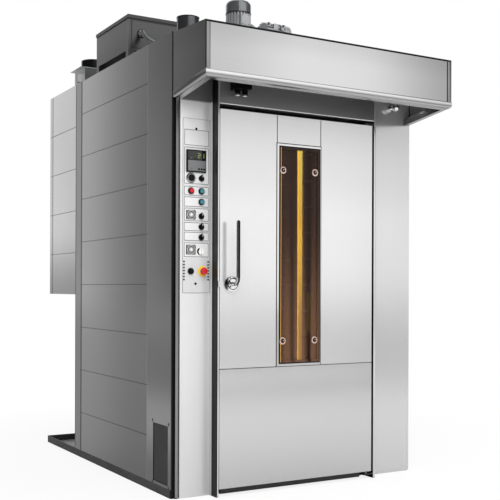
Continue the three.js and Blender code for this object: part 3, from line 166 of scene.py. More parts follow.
def mixed(tree: Tree, factor: Socket, first: Socket | Colour, second: Socket | Colour) -> Socket:
    """Returns a mix of two colours, where the factor is the second one's share."""
    inputs = {"Factor": factor, "A": first, "B": second}
    return add_node(tree, "ShaderNodeMix", inputs, data_type="RGBA").outputs["Result"]


def noise(tree: Tree, coordinates: Socket, scale: float, detail: float) -> Socket:
    """Returns a noise of so many clouds to a metre, with finer layers over them."""
    inputs = {"Scale": scale, "Detail": detail, "Vector": coordinates}
    return add_node(tree, "ShaderNodeTexNoise", inputs).outputs[0]


def new_material(name: str, **constants) -> tuple[bpy.types.Material, Tree, Inputs, Socket]:
    """Starts a material whose shader has the given constants.

    Args:
        name: The finish's name.
        **constants: Shader inputs, with underscores for spaces.

    Returns:
        The material, its tree, its shader's inputs and its object coordinates.
    """
    material = bpy.data.materials.new(name)
    material.use_nodes = True
    tree = material.node_tree
    inputs = tree.nodes["Principled BSDF"].inputs
    for key, value in constants.items():
        inputs[key.replace("_", " ")].default_value = value
    coordinates = add_node(tree, "ShaderNodeTexCoord").outputs["Object"]
    return material, tree, inputs, coordinates


def placed(tree: Tree, coordinates: Socket, axis: Axis) -> Socket:
    """Returns the coordinate along one axis, in metres of the shared frame."""
    return add_node(tree, "ShaderNodeSeparateXYZ", {0: coordinates}).outputs[axis.value]


# ---------------------------------------------------------------- marks on a sheet
@dataclass(frozen=True)
class Fade:
    """A slow change of tone along one direction: painted shade and painted light on steel sheets.
    """

    axis: Axis
    start: float
    end: float
    shade: float

    def factor(self, tree: Tree, coordinates: Socket) -> Socket:
        """Makes the share of the fade: 0 at its start and 1 at its end.

        Args:
            tree: The material's node tree.
            coordinates: Its object coordinates.

        Returns:
            The share's socket.
        """
        low, high = ((at - CORNER[self.axis.value]) * MM for at in (self.start, self.end))
        along = placed(tree, coordinates, self.axis)
        return ranged(tree, along, 0.0, 1.0, low, high, smooth=True)


@dataclass(frozen=True)
class Band:
    """A line across a sheet: dark joints, painted highlights on folds and painted shade in gaps."""

    axis: Axis
    at: float
    width: float
    shade: float

    def factor(self, tree: Tree, coordinates: Socket) -> Socket:
        """Makes the share of the line: 1 on it and 0 elsewhere.

        Args:
            tree: The material's node tree.
            coordinates: Its object coordinates.

        Returns:
            The share's socket.
        """
        middle = (self.at - CORNER[self.axis.value]) * MM
        along = placed(tree, coordinates, self.axis)
        return maths(tree, "COMPARE", along, middle, self.width / 2 * MM)


@dataclass(frozen=True)
class Stud:
    """A small screw that lies flush in a sheet."""

    centre: tuple[float, float, float]
    radius: float
    shade: float = 0.08

    def factor(self, tree: Tree, coordinates: Socket) -> Socket:
        """Makes the share of the screw: 1 on it and 0 elsewhere.

        Args:
            tree: The material's node tree.
            coordinates: Its object coordinates.

        Returns:
            The share's socket.
        """
        inputs = {0: coordinates, 1: place(*self.centre)}
        away = add_node(tree, "ShaderNodeVectorMath", inputs, operation="DISTANCE")
        return maths(tree, "LESS_THAN", away.outputs["Value"], self.radius * MM)


@dataclass(frozen=True)
class HoodInside:
    """The inside of the hood: painted shade, as no lamp reaches it, on a sheet that steam has
    dulled.
    """

    front: float = -360.2
    reach: float = 779.3
    wall_top: float = 2392.0
    front_top: float = 2370.0
    sheet: float = 1.2
    shade: float = 0.55

    def factor(self, tree: Tree, coordinates: Socket) -> Socket:
        """Makes the share of the inside: 1 behind the hood's outer faces and 0 on them.

        Args:
            tree: The material's node tree.
            coordinates: Its object coordinates.

        Returns:
            The share's socket.
        """
        split = add_node(tree, "ShaderNodeSeparateXYZ", {0: coordinates}).outputs
        slope = (self.wall_top - self.front_top) / -self.front
        crest = (self.wall_top + slope * CORNER.y - self.sheet) * MM
        across = maths(tree, "ABSOLUTE", split[0])
        lean = maths(tree, "MULTIPLY_ADD", split[1], -slope, split[2])
        between = maths(tree, "LESS_THAN", across, self.reach * MM)
        behind = maths(tree, "GREATER_THAN", split[1], (self.front - CORNER.y) * MM)
        under = maths(tree, "LESS_THAN", lean, crest)
        return maths(tree, "MULTIPLY", maths(tree, "MULTIPLY", between, behind), under)


Mark = Fade | Band | Stud | HoodInside


def shaded(tree: Tree, coordinates: Socket, start: Socket, marks: tuple[Mark, ...]) -> Socket:
    """Multiplies a tone by the shade of each mark, where the mark lies.

    Args:
        tree: The material's node tree.
        coordinates: Its object coordinates.
        start: The socket to start from.
        marks: The marks.

    Returns:
        The output socket.
    """
    for mark in marks:
        here = ranged(tree, mark.factor(tree, coordinates), 1.0, mark.shade)
        start = maths(tree, "MULTIPLY", start, here)
    return start


# ---------------------------------------------------------------- recipes of the finishes
@dataclass(frozen=True)
class BrushedSteel:
    """Stainless sheet ground with a fine belt: the ground lines blur what it mirrors.

    Real ground lines are about 0.1 mm apart. They are drawn a few millimetres apart, since
    finer ones don't show at this size.
    """

    name: str
    tone: str
    grain: Axis
    roughness: float = 0.3
    # marks: painted shade and painted highlights, dark joints and flush screws
    marks: tuple[Mark, ...] = ()
    metallic: float = 1.0
    lining: HoodInside | None = None
    lining_metallic: float = 0.25
    line_spacing: float = 3.0
    line_length: float = 420.0
    contrast: float = 0.03
    clouds: float = 2.2
    unevenness: float = 0.04

    def material(self) -> bpy.types.Material:
        """Makes the sheet's material."""
        material, tree, shader, coordinates = new_material(self.name, Metallic=self.metallic)
        scale = [1 / MM / self.line_spacing] * 3
        scale[self.grain.value] = 1 / MM / self.line_length
        inputs = {"Scale": scale, "Vector": coordinates}
        mapped = add_node(tree, "ShaderNodeMapping", inputs).outputs[0]
        lines = noise(tree, mapped, 1.0, 2.0)
        ground = ranged(tree, lines, 1 - self.contrast, 1 + self.contrast)
        tone = shaded(tree, coordinates, ground, self.marks)
        inputs = {0: linear(self.tone)[:3], "Scale": tone}
        lit = add_node(tree, "ShaderNodeVectorMath", inputs, operation="SCALE").outputs[0]
        tree.links.new(lit, shader["Base Color"])
        if self.lining:
            inside = self.lining.factor(tree, coordinates)
            dulled = ranged(tree, inside, self.metallic, self.lining_metallic)
            tree.links.new(dulled, shader["Metallic"])
        clouds = noise(tree, coordinates, self.clouds, 2.0)
        low, high = self.roughness - self.unevenness, self.roughness + self.unevenness
        tree.links.new(ranged(tree, clouds, low, high), shader["Roughness"])
        return material


@dataclass(frozen=True)
class Coating:
    """Paint, moulded plastic, rubber or cast metal: one colour over a grain of its own size."""

    name: str
    tone: str
    second_tone: str
    roughness: float
    grain_size: float
    relief: float
    metallic: float = 0.0
    coat: float = 0.0
    gloss: float = 0.5
    wear_scale: float = 12.0
    unevenness: float = 0.06
    smoothest: float = 0.02

    def material(self) -> bpy.types.Material:
        """Makes the coating's material."""
        material, tree, shader, coordinates = new_material(
            self.name,
            Metallic=self.metallic,
            Coat_Weight=self.coat,
            Specular_IOR_Level=self.gloss,
        )
        wear = noise(tree, coordinates, self.wear_scale, 3.0)
        colour = mixed(tree, wear, linear(self.tone), linear(self.second_tone))
        tree.links.new(colour, shader["Base Color"])
        low = max(self.roughness - self.unevenness, self.smoothest)
        sheen = ranged(tree, wear, low, self.roughness + self.unevenness)
        tree.links.new(sheen, shader["Roughness"])
        grain = noise(tree, coordinates, 1 / MM / self.grain_size, 4.0)
        inputs = {"Strength": 0.3, "Distance": self.relief * MM, "Height": grain}
        tree.links.new(add_node(tree, "ShaderNodeBump", inputs).outputs[0], shader["Normal"])
        return material


@dataclass(frozen=True)
class Galvanised:
    """Hot-dip zinc: crystals about a centimetre across, each with its own grey."""

    name: str
    tone: str
    second_tone: str
    crystal: float = 14.0

    def material(self) -> bpy.types.Material:
        """Makes the zinc's material."""
        material, tree, shader, coordinates = new_material(self.name, Metallic=0.85)
        inputs = {"Scale": 1 / MM / self.crystal, "Vector": coordinates}
        cells = add_node(tree, "ShaderNodeTexVoronoi", inputs).outputs["Color"]
        colour = mixed(tree, cells, linear(self.tone), linear(self.second_tone))
        tree.links.new(colour, shader["Base Color"])
        tree.links.new(ranged(tree, cells, 0.35, 0.6), shader["Roughness"])
        return material


@dataclass(frozen=True)
class TintedGlass:
    """Bronze-tinted heat-resisting glass: streaked by what stands behind it, glossy in front."""

    name: str
    upper_tone: str
    lower_tone: str
    streak_tone: str
    alpha: float
    fade: Fade
    streak_width: float = 70.0

    def material(self) -> bpy.types.Material:
        """Makes the pane's material."""
        material, tree, shader, coordinates = new_material(
            self.name, Roughness=0.06, IOR=1.5, Alpha=self.alpha, Specular_IOR_Level=0.2
        )
        inputs = {"Scale": (1 / MM / self.streak_width, 2.0, 0.15), "Vector": coordinates}
        mapped = add_node(tree, "ShaderNodeMapping", inputs).outputs[0]
        depth = ranged(tree, noise(tree, mapped, 1.0, 2.0), 0.0, 1.0, 0.45, 0.62)
        height = self.fade.factor(tree, coordinates)
        body = mixed(tree, height, linear(self.lower_tone), linear(self.upper_tone))
        colour = mixed(tree, depth, body, linear(self.streak_tone))
        tree.links.new(colour, shader["Base Color"])
        material.surface_render_method = "BLENDED"
        return material


@dataclass(frozen=True)
class Glow:
    """A lit lens or display, also a painted lamp reflection: its own light, a little uneven as
    behind frosted plastic.
    """

    name: str
    tone: str
    strength: float
    cloud: float = 30.0
    far_tone: str = ""
    fade: Fade | None = None

    def material(self) -> bpy.types.Material:
        """Makes the lit material."""
        tone = linear(self.tone)
        material, tree, shader, coordinates = new_material(
            self.name, Base_Color=tone, Roughness=0.4, Emission_Strength=self.strength
        )
        dim = (*(value * 0.8 for value in tone[:3]), 1.0)
        lit = mixed(tree, noise(tree, coordinates, 1 / MM / self.cloud, 1.0), dim, tone)
        if self.fade:
            lit = mixed(tree, self.fade.factor(tree, coordinates), lit, linear(self.far_tone))
        tree.links.new(lit, shader["Emission Color"])
        return material


@dataclass(frozen=True)
class EngravedDial:
    """A small etched plate: rings turned into satin aluminium about a centre.

    The rings of such plates are a millimetre or two apart. They are drawn 11 mm apart to show.
    """

    name: str
    tone: str
    ring_tone: str
    centre: tuple[float, float, float]
    ring_spacing: float = 11.0

    def material(self) -> bpy.types.Material:
        """Makes the plate's material."""
        material, tree, shader, coordinates = new_material(
            self.name, Metallic=0.7, Roughness=0.45
        )
        inputs = {"Location": place(*self.centre) * -1, "Vector": coordinates}
        mapped = add_node(tree, "ShaderNodeMapping", inputs).outputs[0]
        # a wave texture of scale 1 has a ring every pi / 10 metres
        inputs = {"Scale": math.pi / 10 / MM / self.ring_spacing, "Distortion": 0.4}
        rings = add_node(
            tree,
            "ShaderNodeTexWave",
            inputs | {"Vector": mapped},
            wave_type="RINGS",
            rings_direction="Y",
        ).outputs[0]
        colour = mixed(tree, rings, linear(self.tone), linear(self.ring_tone))
        tree.links.new(colour, shader["Base Color"])
        return material


Recipe = BrushedSteel | Coating | Galvanised | TintedGlass | Glow | EngravedDial

SHEET_HEIGHT = 271.8  # between the joints of the cladding


def joints(top: float, count: int) -> tuple[Band, ...]:
    """Returns the level joints of the cladding, from the top one down."""
    return tuple(Band(Axis.Z, top - SHEET_HEIGHT * row, 4.2, 0.3) for row in range(count))


class Finish(Enum):
    """The object's finishes."""

    # Painted shade: darker towards the floor, towards the top under the hood and towards the right.
    FRONT = BrushedSteel(
        "satin_stainless_front",
        "#dddddd",
        Axis.Z,
        0.16,
        (
            Fade(Axis.Z, 1250, 680, 0.82),
            Fade(Axis.Z, 1450, 1700, 0.92),
            Fade(Axis.X, 850, 1560, 0.9),
        ),
        metallic=0.6,
    )
    # Painted light, lighter towards the top; painted shade of the hood above 2060 mm and towards
    # the floor.
    COLUMN = BrushedSteel(
        "satin_stainless_column",
        "#d8d8d8",
        Axis.Z,
        0.3,
        (
            Fade(Axis.Z, 1700, 2010, 1.22),
            Fade(Axis.Z, 2048, 2060, 0.2),
            Fade(Axis.Z, 900, 60, 0.84),
        ),
        metallic=0.35,
    )
    # Painted shade: darker towards the floor.
    DOOR_FOOT = BrushedSteel(
        "satin_stainless_door_foot",
        "#dadada",
        Axis.Z,
        0.16,
        (Fade(Axis.Z, 640, 520, 0.82), Fade(Axis.Z, 520, 60, 0.92)),
    )
    # Painted light: lighter towards the top.
    PLATE = BrushedSteel(
        "satin_aluminium_plate",
        "#d0d0d0",
        Axis.Z,
        0.3,
        (Fade(Axis.Z, 1700, 1990, 1.2),),
        metallic=0.35,
    )
    # Painted shade: darker towards both ends and the top, on the left end face, in a line at the
    # back edge and inside.
    HOOD = BrushedSteel(
        "satin_stainless_hood",
        "#e2e2e2",
        Axis.X,
        0.18,
        (
            Fade(Axis.X, 620, 20, 0.75),
            Fade(Axis.X, 900, 1540, 0.68),
            Fade(Axis.Z, 2230, 2371, 0.86),
            Fade(Axis.X, 1.6, 0.5, 0.52),
            Band(Axis.Y, -3.0, 9.0, 0.15),
            HoodInside(),
        ),
        lining=HoodInside(),
    )
    # Painted shade: darker on the lower, rounded part of the lip.
    LIP = BrushedSteel(
        "folded_stainless_lip", "#f4f4f4", Axis.X, 0.2, (Fade(Axis.Z, 2126, 2112, 0.42),)
    )
    # Painted shade: darker towards the front and the floor and in the gap by the rear post; a
    # painted highlight on the joint with the front panel; the level lines are the cladding's
    # joints.
    SIDE = BrushedSteel(
        "satin_stainless_side",
        "#b4b4b4",
        Axis.Y,
        0.18,
        (
            Fade(Axis.Y, 1354, 400, 0.6),
            Fade(Axis.Z, 1250, 100, 0.5),
            Band(Axis.Y, 315.2, 3.0, 2.2),
            Band(Axis.Y, 1347.0, 16.0, 0.12),
            *joints(2190.5, 8),
        ),
    )
    # Painted shade: darker towards the top, from 1100 mm down and towards the floor, lighter again
    # below 620 mm, and a dark line in the gap at the front edge; the dots are screws.
    FRONT_PANEL = BrushedSteel(
        "satin_stainless_side_front",
        "#9c9c9c",
        Axis.Z,
        0.18,
        (
            Fade(Axis.Z, 1700, 2380, 0.7),
            Fade(Axis.Z, 1100, 650, 0.56),
            Fade(Axis.Z, 620, 420, 1.6),
            Fade(Axis.Z, 400, 100, 0.5),
            Band(Axis.Y, 4.0, 15.0, 0.05),
            *(Stud((0, y, z), 9.5) for y in (37, 236) for z in (50, 379)),
        ),
    )
    # Painted shade: darker towards the foot and the back edge; a dark line at the trim; the level
    # lines are joints.
    REAR = BrushedSteel(
        "satin_stainless_rear",
        "#e2e2e2",
        Axis.Y,
        0.22,
        (
            Fade(Axis.Z, 1500, 1040, 0.44),
            Fade(Axis.Y, 1900, 1986, 0.84),
            Band(Axis.Y, 1930.0, 15.0, 0.34),
            *joints(2126.7, 4),
        ),
    )
    # Painted shade: darker towards the floor and in a line at the rear edge, where the post meets
    # the rear unit.
    REAR_POST = BrushedSteel(
        "satin_stainless_rear_post",
        "#969696",
        Axis.Z,
        0.2,
        (Fade(Axis.Z, 1250, 100, 0.6), Band(Axis.Y, 1455.0, 14.0, 0.2)),
    )
    # A painted highlight on the front corner; painted shade on the front face, towards the front,
    # towards the bottom and under the lid's skirt.
    ROOF_BOX = BrushedSteel(
        "dull_stainless_roof_box",
        "#7c7c7c",
        Axis.Z,
        0.3,
        (
            Band(Axis.Y, 832.0, 9.0, 1.8),
            Fade(Axis.Y, 833, 829, 0.28),
            Fade(Axis.Y, 1354, 1000, 0.86),
            Fade(Axis.Z, 2640, 2503, 0.72),
            Band(Axis.Z, 2690.0, 7.0, 0.25),
        ),
    )
    LID = BrushedSteel("dull_stainless_lid", "#545454", Axis.Z)
    BOX_FRAME = BrushedSteel("dull_stainless_frame", "#474747", Axis.Z)
    # Painted shade: the post side's dark tone, darker still towards the column and the floor.
    POST = BrushedSteel(
        "stainless_post_painted_shade",
        "#3c3c3c",
        Axis.Z,
        0.3,
        (Fade(Axis.Y, -54, -34, 0.22), Fade(Axis.Z, 1500, 300, 0.4)),
    )
    # Painted shade on the box's front face.
    FLUE_BOX = BrushedSteel(
        "zinc_coated_flue_box", "#ececec", Axis.Z, 0.4, (Fade(Axis.Y, 1712, 1708.5, 0.3),)
    )
    # A shaded copy of the front steel: its grey tone, dull sheen and darkening to the right are
    # painted shade under the hood.
    TRANSOM = BrushedSteel(
        "satin_stainless_transom",
        "#7a7a7a",
        Axis.X,
        0.3,
        (Fade(Axis.X, 700, 1400, 0.6),),
        metallic=0.4,
    )
    INNER = BrushedSteel("mill_stainless_chamber", "#a8a49c", Axis.Z, 0.32, contrast=0.06)
    STRIP = BrushedSteel("ground_stainless_strip", "#a2a2a2", Axis.Z, 0.34)
    # Steel greyed with painted shade, as the corner's rib lies in half shadow.
    GREY_RIB = BrushedSteel("extruded_rib", "#8e8e8e", Axis.Z, 0.36)
    # Painted reflection: the bar is dark except at its left edge.
    HANDLE = BrushedSteel(
        "polished_handle_steel", "#d0d0d0", Axis.Z, 0.12, (Fade(Axis.X, 296, 300.5, 0.05),)
    )
    # Painted reflection: the rose is dark at its left edge.
    ROSE = BrushedSteel(
        "polished_handle_rose", "#f0f0f0", Axis.Z, 0.12, (Fade(Axis.X, 286, 270, 0.06),)
    )
    PLAQUE = Coating("printed_foil", "#dcdcdc", "#d4d4d4", 0.42, 4.0, 0.02, 0.2)
    PRINT = Coating("printed_line", "#5e5e5e", "#545454", 0.5, 4.0, 0.01)
    CHROME = Coating("polished_chrome", "#ececec", "#e2e2e2", 0.08, 30.0, 0.01, 1.0)
    # A polished fold whose brightness is a painted highlight: white, not a mirror.
    EDGE_HIGHLIGHT = Coating("edge_painted_highlight", "#f4f4f4", "#eaeaea", 0.4, 4.0, 0.02, 0.2)
    DARK_STEEL = Coating("dark_lacquered_steel", "#1d1d1d", "#171717", 0.3, 3.0, 0.05, 0.3)
    BASE = Coating("primed_angle_iron", "#3c3c3c", "#303030", 0.5, 3.0, 0.1, 0.5)
    VENT = Coating("perforated_dark_sheet", "#323232", "#282828", 0.5, 3.0, 0.1, 0.5)
    BASE_TRAY = Coating("dull_zinc_tray", "#8a8a8a", "#7a7a7a", 0.5, 5.0, 0.05, 0.4)
    # Black parts, joints and marks, and painted shade in grooves, slots, vents and under the fan
    # box.
    RECESS = Coating("black_parts_and_painted_shade", "#0a0a0a", "#101010", 0.5, 3.0, 0.03, gloss=0.15)
    PIPE = Coating("dull_steel_pipe", "#747678", "#585a5c", 0.2, 6.0, 0.03, 0.9)
    FLUE_PIPE = Coating("dark_flue_pipe", "#2c2d2f", "#1e1f20", 0.25, 6.0, 0.03, 0.8)
    ZINC = Galvanised("galvanised_sheet", "#d6d8d9", "#bcbfc1")
    CONDUIT = Galvanised("conduit_zinc", "#a4a6a8", "#747678", 6.0)
    CAST = Coating("cast_aluminium_grey", "#acaeb0", "#929496", 0.3, 1.6, 0.12, 0.5)
    CAST_LIGHT = Coating("machined_cast_grey", "#c4c6c8", "#a2a4a6", 0.22, 1.6, 0.1, 1.0)
    CAST_DARK = Coating("cast_iron_black", "#333436", "#232425", 0.5, 1.6, 0.25, 0.6)
    COWL = Coating("pressed_steel_cowl", "#989a9c", "#848688", 0.24, 5.0, 0.03, 0.85)
    TERMINAL = Coating("moulded_grey_box", "#9c9e9f", "#8e9091", 0.42, 2.0, 0.08, 0.1)
    BLACK = Coating("black_moulded_plastic", "#08080a", "#0d0d0e", 0.3, 2.0, 0.05, gloss=0.16)
    RED = Coating("red_moulded_plastic", "#c01420", "#ac101a", 0.34, 2.0, 0.04)
    TEAL = Coating("teal_moulded_plastic", "#3a7c8a", "#336f7c", 0.34, 2.0, 0.04)
    YELLOW = Coating("yellow_moulded_plastic", "#f0c81c", "#e2b814", 0.35, 2.0, 0.04)
    WHITE = Coating("white_moulded_plastic", "#e6e6e4", "#dcdcda", 0.35, 2.0, 0.04)
    KEYPAD = Coating("grey_keypad_film", "#6d6f70", "#636566", 0.4, 3.0, 0.03)
    SCREEN = Coating("black_screen_glass", "#0b0d0c", "#101211", 0.12, 8.0, 0.01, coat=0.5)
    RUBBER = Coating("black_silicone", "#141414", "#1c1c1c", 0.7, 2.0, 0.1)
    CLIP = Coating("copper_tinted_clip", "#dcc2b4", "#ccb0a2", 0.25, 6.0, 0.02, 0.8)
    # The amber of the strip at the glass's left edge is painted lamp light from the chamber.
    AMBER_EDGE_LIGHT = Coating("amber_painted_lamp_light", "#d8a458", "#c08c40", 0.3, 6.0, 0.02, 0.6)
    LENS = Coating("clear_lens", "#cfd6da", "#b9c2c8", 0.06, 6.0, 0.02, 0.3, 0.5)
    DIGITS = Glow("lit_segments", "#8c9a58", 0.75, 8.0)
    LAMP = Glow(
        "chamber_lamp_lens", "#e0b03c", 4.0, 400.0, "#d6be50", Fade(Axis.Z, 1450, 2000, 1.0)
    )
    LAMP_EDGE = Glow("chamber_lamp_edge", "#f0b444", 4.0, 400.0)
    LAMP_FOOT = Glow(
        "chamber_lamp_foot", "#84682e", 4.0, 400.0, "#e0b03c", Fade(Axis.Z, 750, 1450, 1.0)
    )
    # Painted reflection of the chamber lamp, glowing on the chamber wall.
    LAMP_REFLECTION = Glow(
        "lamp_reflection_glow", "#c8b84c", 0.25, 400.0, "#b0a040", Fade(Axis.Z, 900, 1056, 0.2)
    )


_MADE: dict[str, bpy.types.Material] = {}


def dress(finish: Finish | Recipe) -> bpy.types.Material:
    """Returns a finish's material, made the first time it is asked for.

    Args:
        finish: A member of Finish, or a recipe of its own.

    Returns:
        The material.
    """
    recipe = finish.value if isinstance(finish, Finish) else finish
    if recipe.name not in _MADE:
        _MADE[recipe.name] = recipe.material()
    return _MADE[recipe.name]


def coat_nodes(finish: Finish | Recipe, *nodes: str) -> None:
    """Gives CAD nodes a finish.

    Args:
        finish: The finish.
        *nodes: Names of the nodes.
    """
    for name in nodes:
        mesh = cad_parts[name].data
        mesh.materials.clear()
        mesh.materials.append(dress(finish))
    LOG.info("%s on %s", dress(finish).name, ", ".join(nodes))


# ---------------------------------------------------------------- shaping
def bevel(bm: Mesh, edges: list[bmesh.types.BMEdge], amount: float, segments: int) -> None:
    """Rounds edges of a mesh.

    Args:
        bm: The mesh.
        edges: The edges.
        amount: The rounding in millimetres.
        segments: Steps across it.
    """
    bmesh.ops.bevel(
        bm,
        geom=edges,
        offset=amount * MM,
        offset_type="OFFSET",
        affect="EDGES",
        segments=segments,
        profile=0.5,
        material=-1,
    )


def slab(low: tuple, high: tuple, rounding: float = 0.0) -> Mesh:
    """Makes a block between two corners.

    Args:
        low: Lowest corner on the casing, in millimetres.
        high: Highest corner.
        rounding: Rounding of its edges, in millimetres.

    Returns:
        The block.
    """
    a, b = place(*low), place(*high)
    bm = bmesh.new()
    bmesh.ops.create_cube(bm, size=1.0)
    bmesh.ops.scale(bm, vec=b - a, verts=bm.verts)
    bmesh.ops.translate(bm, vec=(a + b) / 2, verts=bm.verts)
    if rounding:
        sharp = [edge for edge in bm.edges if edge.calc_face_angle(0.0) > ROUNDED_FROM]
        bevel(bm, sharp, rounding, 2)
    return bm


def turned(
    profile: Profile, centre: tuple, axis: Axis, steps: int = 32, closed: bool = False
) -> Mesh:
    """Turns a profile round an axis.

    Args:
        profile: Radius and distance along the axis, in millimetres, point by point.
        centre: The place of distance zero, on the casing.
        axis: The axis. Distances run towards the front for Y, to the right for X and up for Z.
        steps: Facets of a full turn.
        closed: Whether the profile's last point is joined to its first, as in a ring.

    Returns:
        The turned mesh.
    """
    bm = bmesh.new()
    outline = profile + profile[:1] if closed else profile
    points = [bm.verts.new((radius * MM, 0.0, height * MM)) for radius, height in outline]
    edges = [bm.edges.new(pair) for pair in zip(points, points[1:])]
    bmesh.ops.spin(
        bm,
        geom=points + edges,
        cent=(0, 0, 0),
        axis=(0, 0, 1),
        dvec=(0, 0, 0),
        angle=2 * math.pi,
        steps=steps,
        use_merge=True,
    )
    bmesh.ops.remove_doubles(bm, verts=bm.verts, dist=1e-6)
    tilt = {
        Axis.X: Matrix.Rotation(math.pi / 2, 4, "Y"),
        Axis.Y: Matrix.Rotation(math.pi / 2, 4, "X"),
        Axis.Z: Matrix.Identity(4),
    }[axis]
    bmesh.ops.transform(bm, matrix=Matrix.Translation(place(*centre)) @ tilt, verts=bm.verts)
    return bm


def frame_ring(low: tuple, high: tuple, width: float, axis: Axis = Axis.Y) -> Mesh:
    """Makes a flat rectangular ring.

    Args:
        low: Lowest corner on the casing.
        high: Highest corner.
        width: Width of the ring's bars, in millimetres.
        axis: The way that the ring's opening goes through.

    Returns:
        The ring.
    """
    bm = slab(low, high)
    faces = [face for face in bm.faces if abs(face.normal[axis.value]) > 0.9]
    bmesh.ops.inset_individual(bm, faces=faces, thickness=width * MM, use_even_offset=True)
    first, second = (list(face.edges) for face in faces)
    bmesh.ops.delete(bm, geom=faces, context="FACES_ONLY")
    bmesh.ops.bridge_loops(bm, edges=first + second)
    return bm


def cut_away(bm: Mesh, at: Vector, axis: Axis) -> None:
    """Cuts a mesh off beyond a plane and closes it there.

    Args:
        bm: The mesh.
        at: A place on the plane, in metres.
        axis: The plane's normal, which points to what goes.
    """
    normal = [float(item is axis) for item in Axis]
    everything = bm.verts[:] + bm.edges[:] + bm.faces[:]
    bmesh.ops.bisect_plane(bm, geom=everything, plane_co=at, plane_no=normal, clear_outer=True)
    bmesh.ops.holes_fill(bm, edges=bm.edges)


def transform_about(bm: Mesh, pivot: Vector, matrix: Matrix) -> None:
    """Turns or shears a mesh about a pivot in metres, which stays where it is."""
    about = Matrix.Translation(pivot) @ matrix @ Matrix.Translation(-pivot)
    bmesh.ops.transform(bm, matrix=about, verts=bm.verts)


def join_meshes(parts: list[Mesh]) -> Mesh:
    """Puts several meshes into one.

    Args:
        parts: The meshes, which are freed.

    Returns:
        One mesh with all of them.
    """
    whole = bmesh.new()
    for part in parts:
        carrier = bpy.data.meshes.new("carrier")
        part.to_mesh(carrier)
        part.free()
        whole.from_mesh(carrier)
        bpy.data.meshes.remove(carrier)
    return whole


def settle(
    name: str,
    shape: Mesh | list[Mesh],
    finish: Finish | Recipe,
    body: str = "casing",
) -> bpy.types.Object:
    """Turns a mesh into a piece of the oven.

    Args:
        name: The piece's name.
        shape: Its mesh, or several that make it, which are freed.
        finish: Its finish.
        body: The moving body that it rides on.

    Returns:
        The piece.
    """
    bm = join_meshes(shape) if isinstance(shape, list) else shape
    bmesh.ops.recalc_face_normals(bm, faces=bm.faces)
    mesh = bpy.data.meshes.new(name)
    bm.to_mesh(mesh)
    bm.free()
    mesh.materials.append(dress(finish))
    mesh.shade_smooth()
    mesh.set_sharp_from_angle(angle=CREASED_FROM)
    piece = bpy.data.objects.new(name, mesh)
    bpy.context.scene.collection.objects.link(piece)
    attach(piece, body)
    LOG.info("%s rides on %s", name, body)
    return piece


def screw_head(centre: tuple, radius: float) -> Mesh:
    """Makes a low domed screw head with a hexagonal socket, facing the front.

    Args:
        centre: Its seat on the casing.
        radius: Its radius in millimetres.

    Returns:
        The head.
    """
    height = radius * 0.5
    profile = [
        (radius, 0.0),
        (radius, height * 0.4),
        (radius * 0.8, height * 0.85),
        (radius * 0.45, height),
        (radius * 0.42, height * 0.35),
        (0.0, height * 0.35),
    ]
    return turned(profile, centre, Axis.Y, 12)


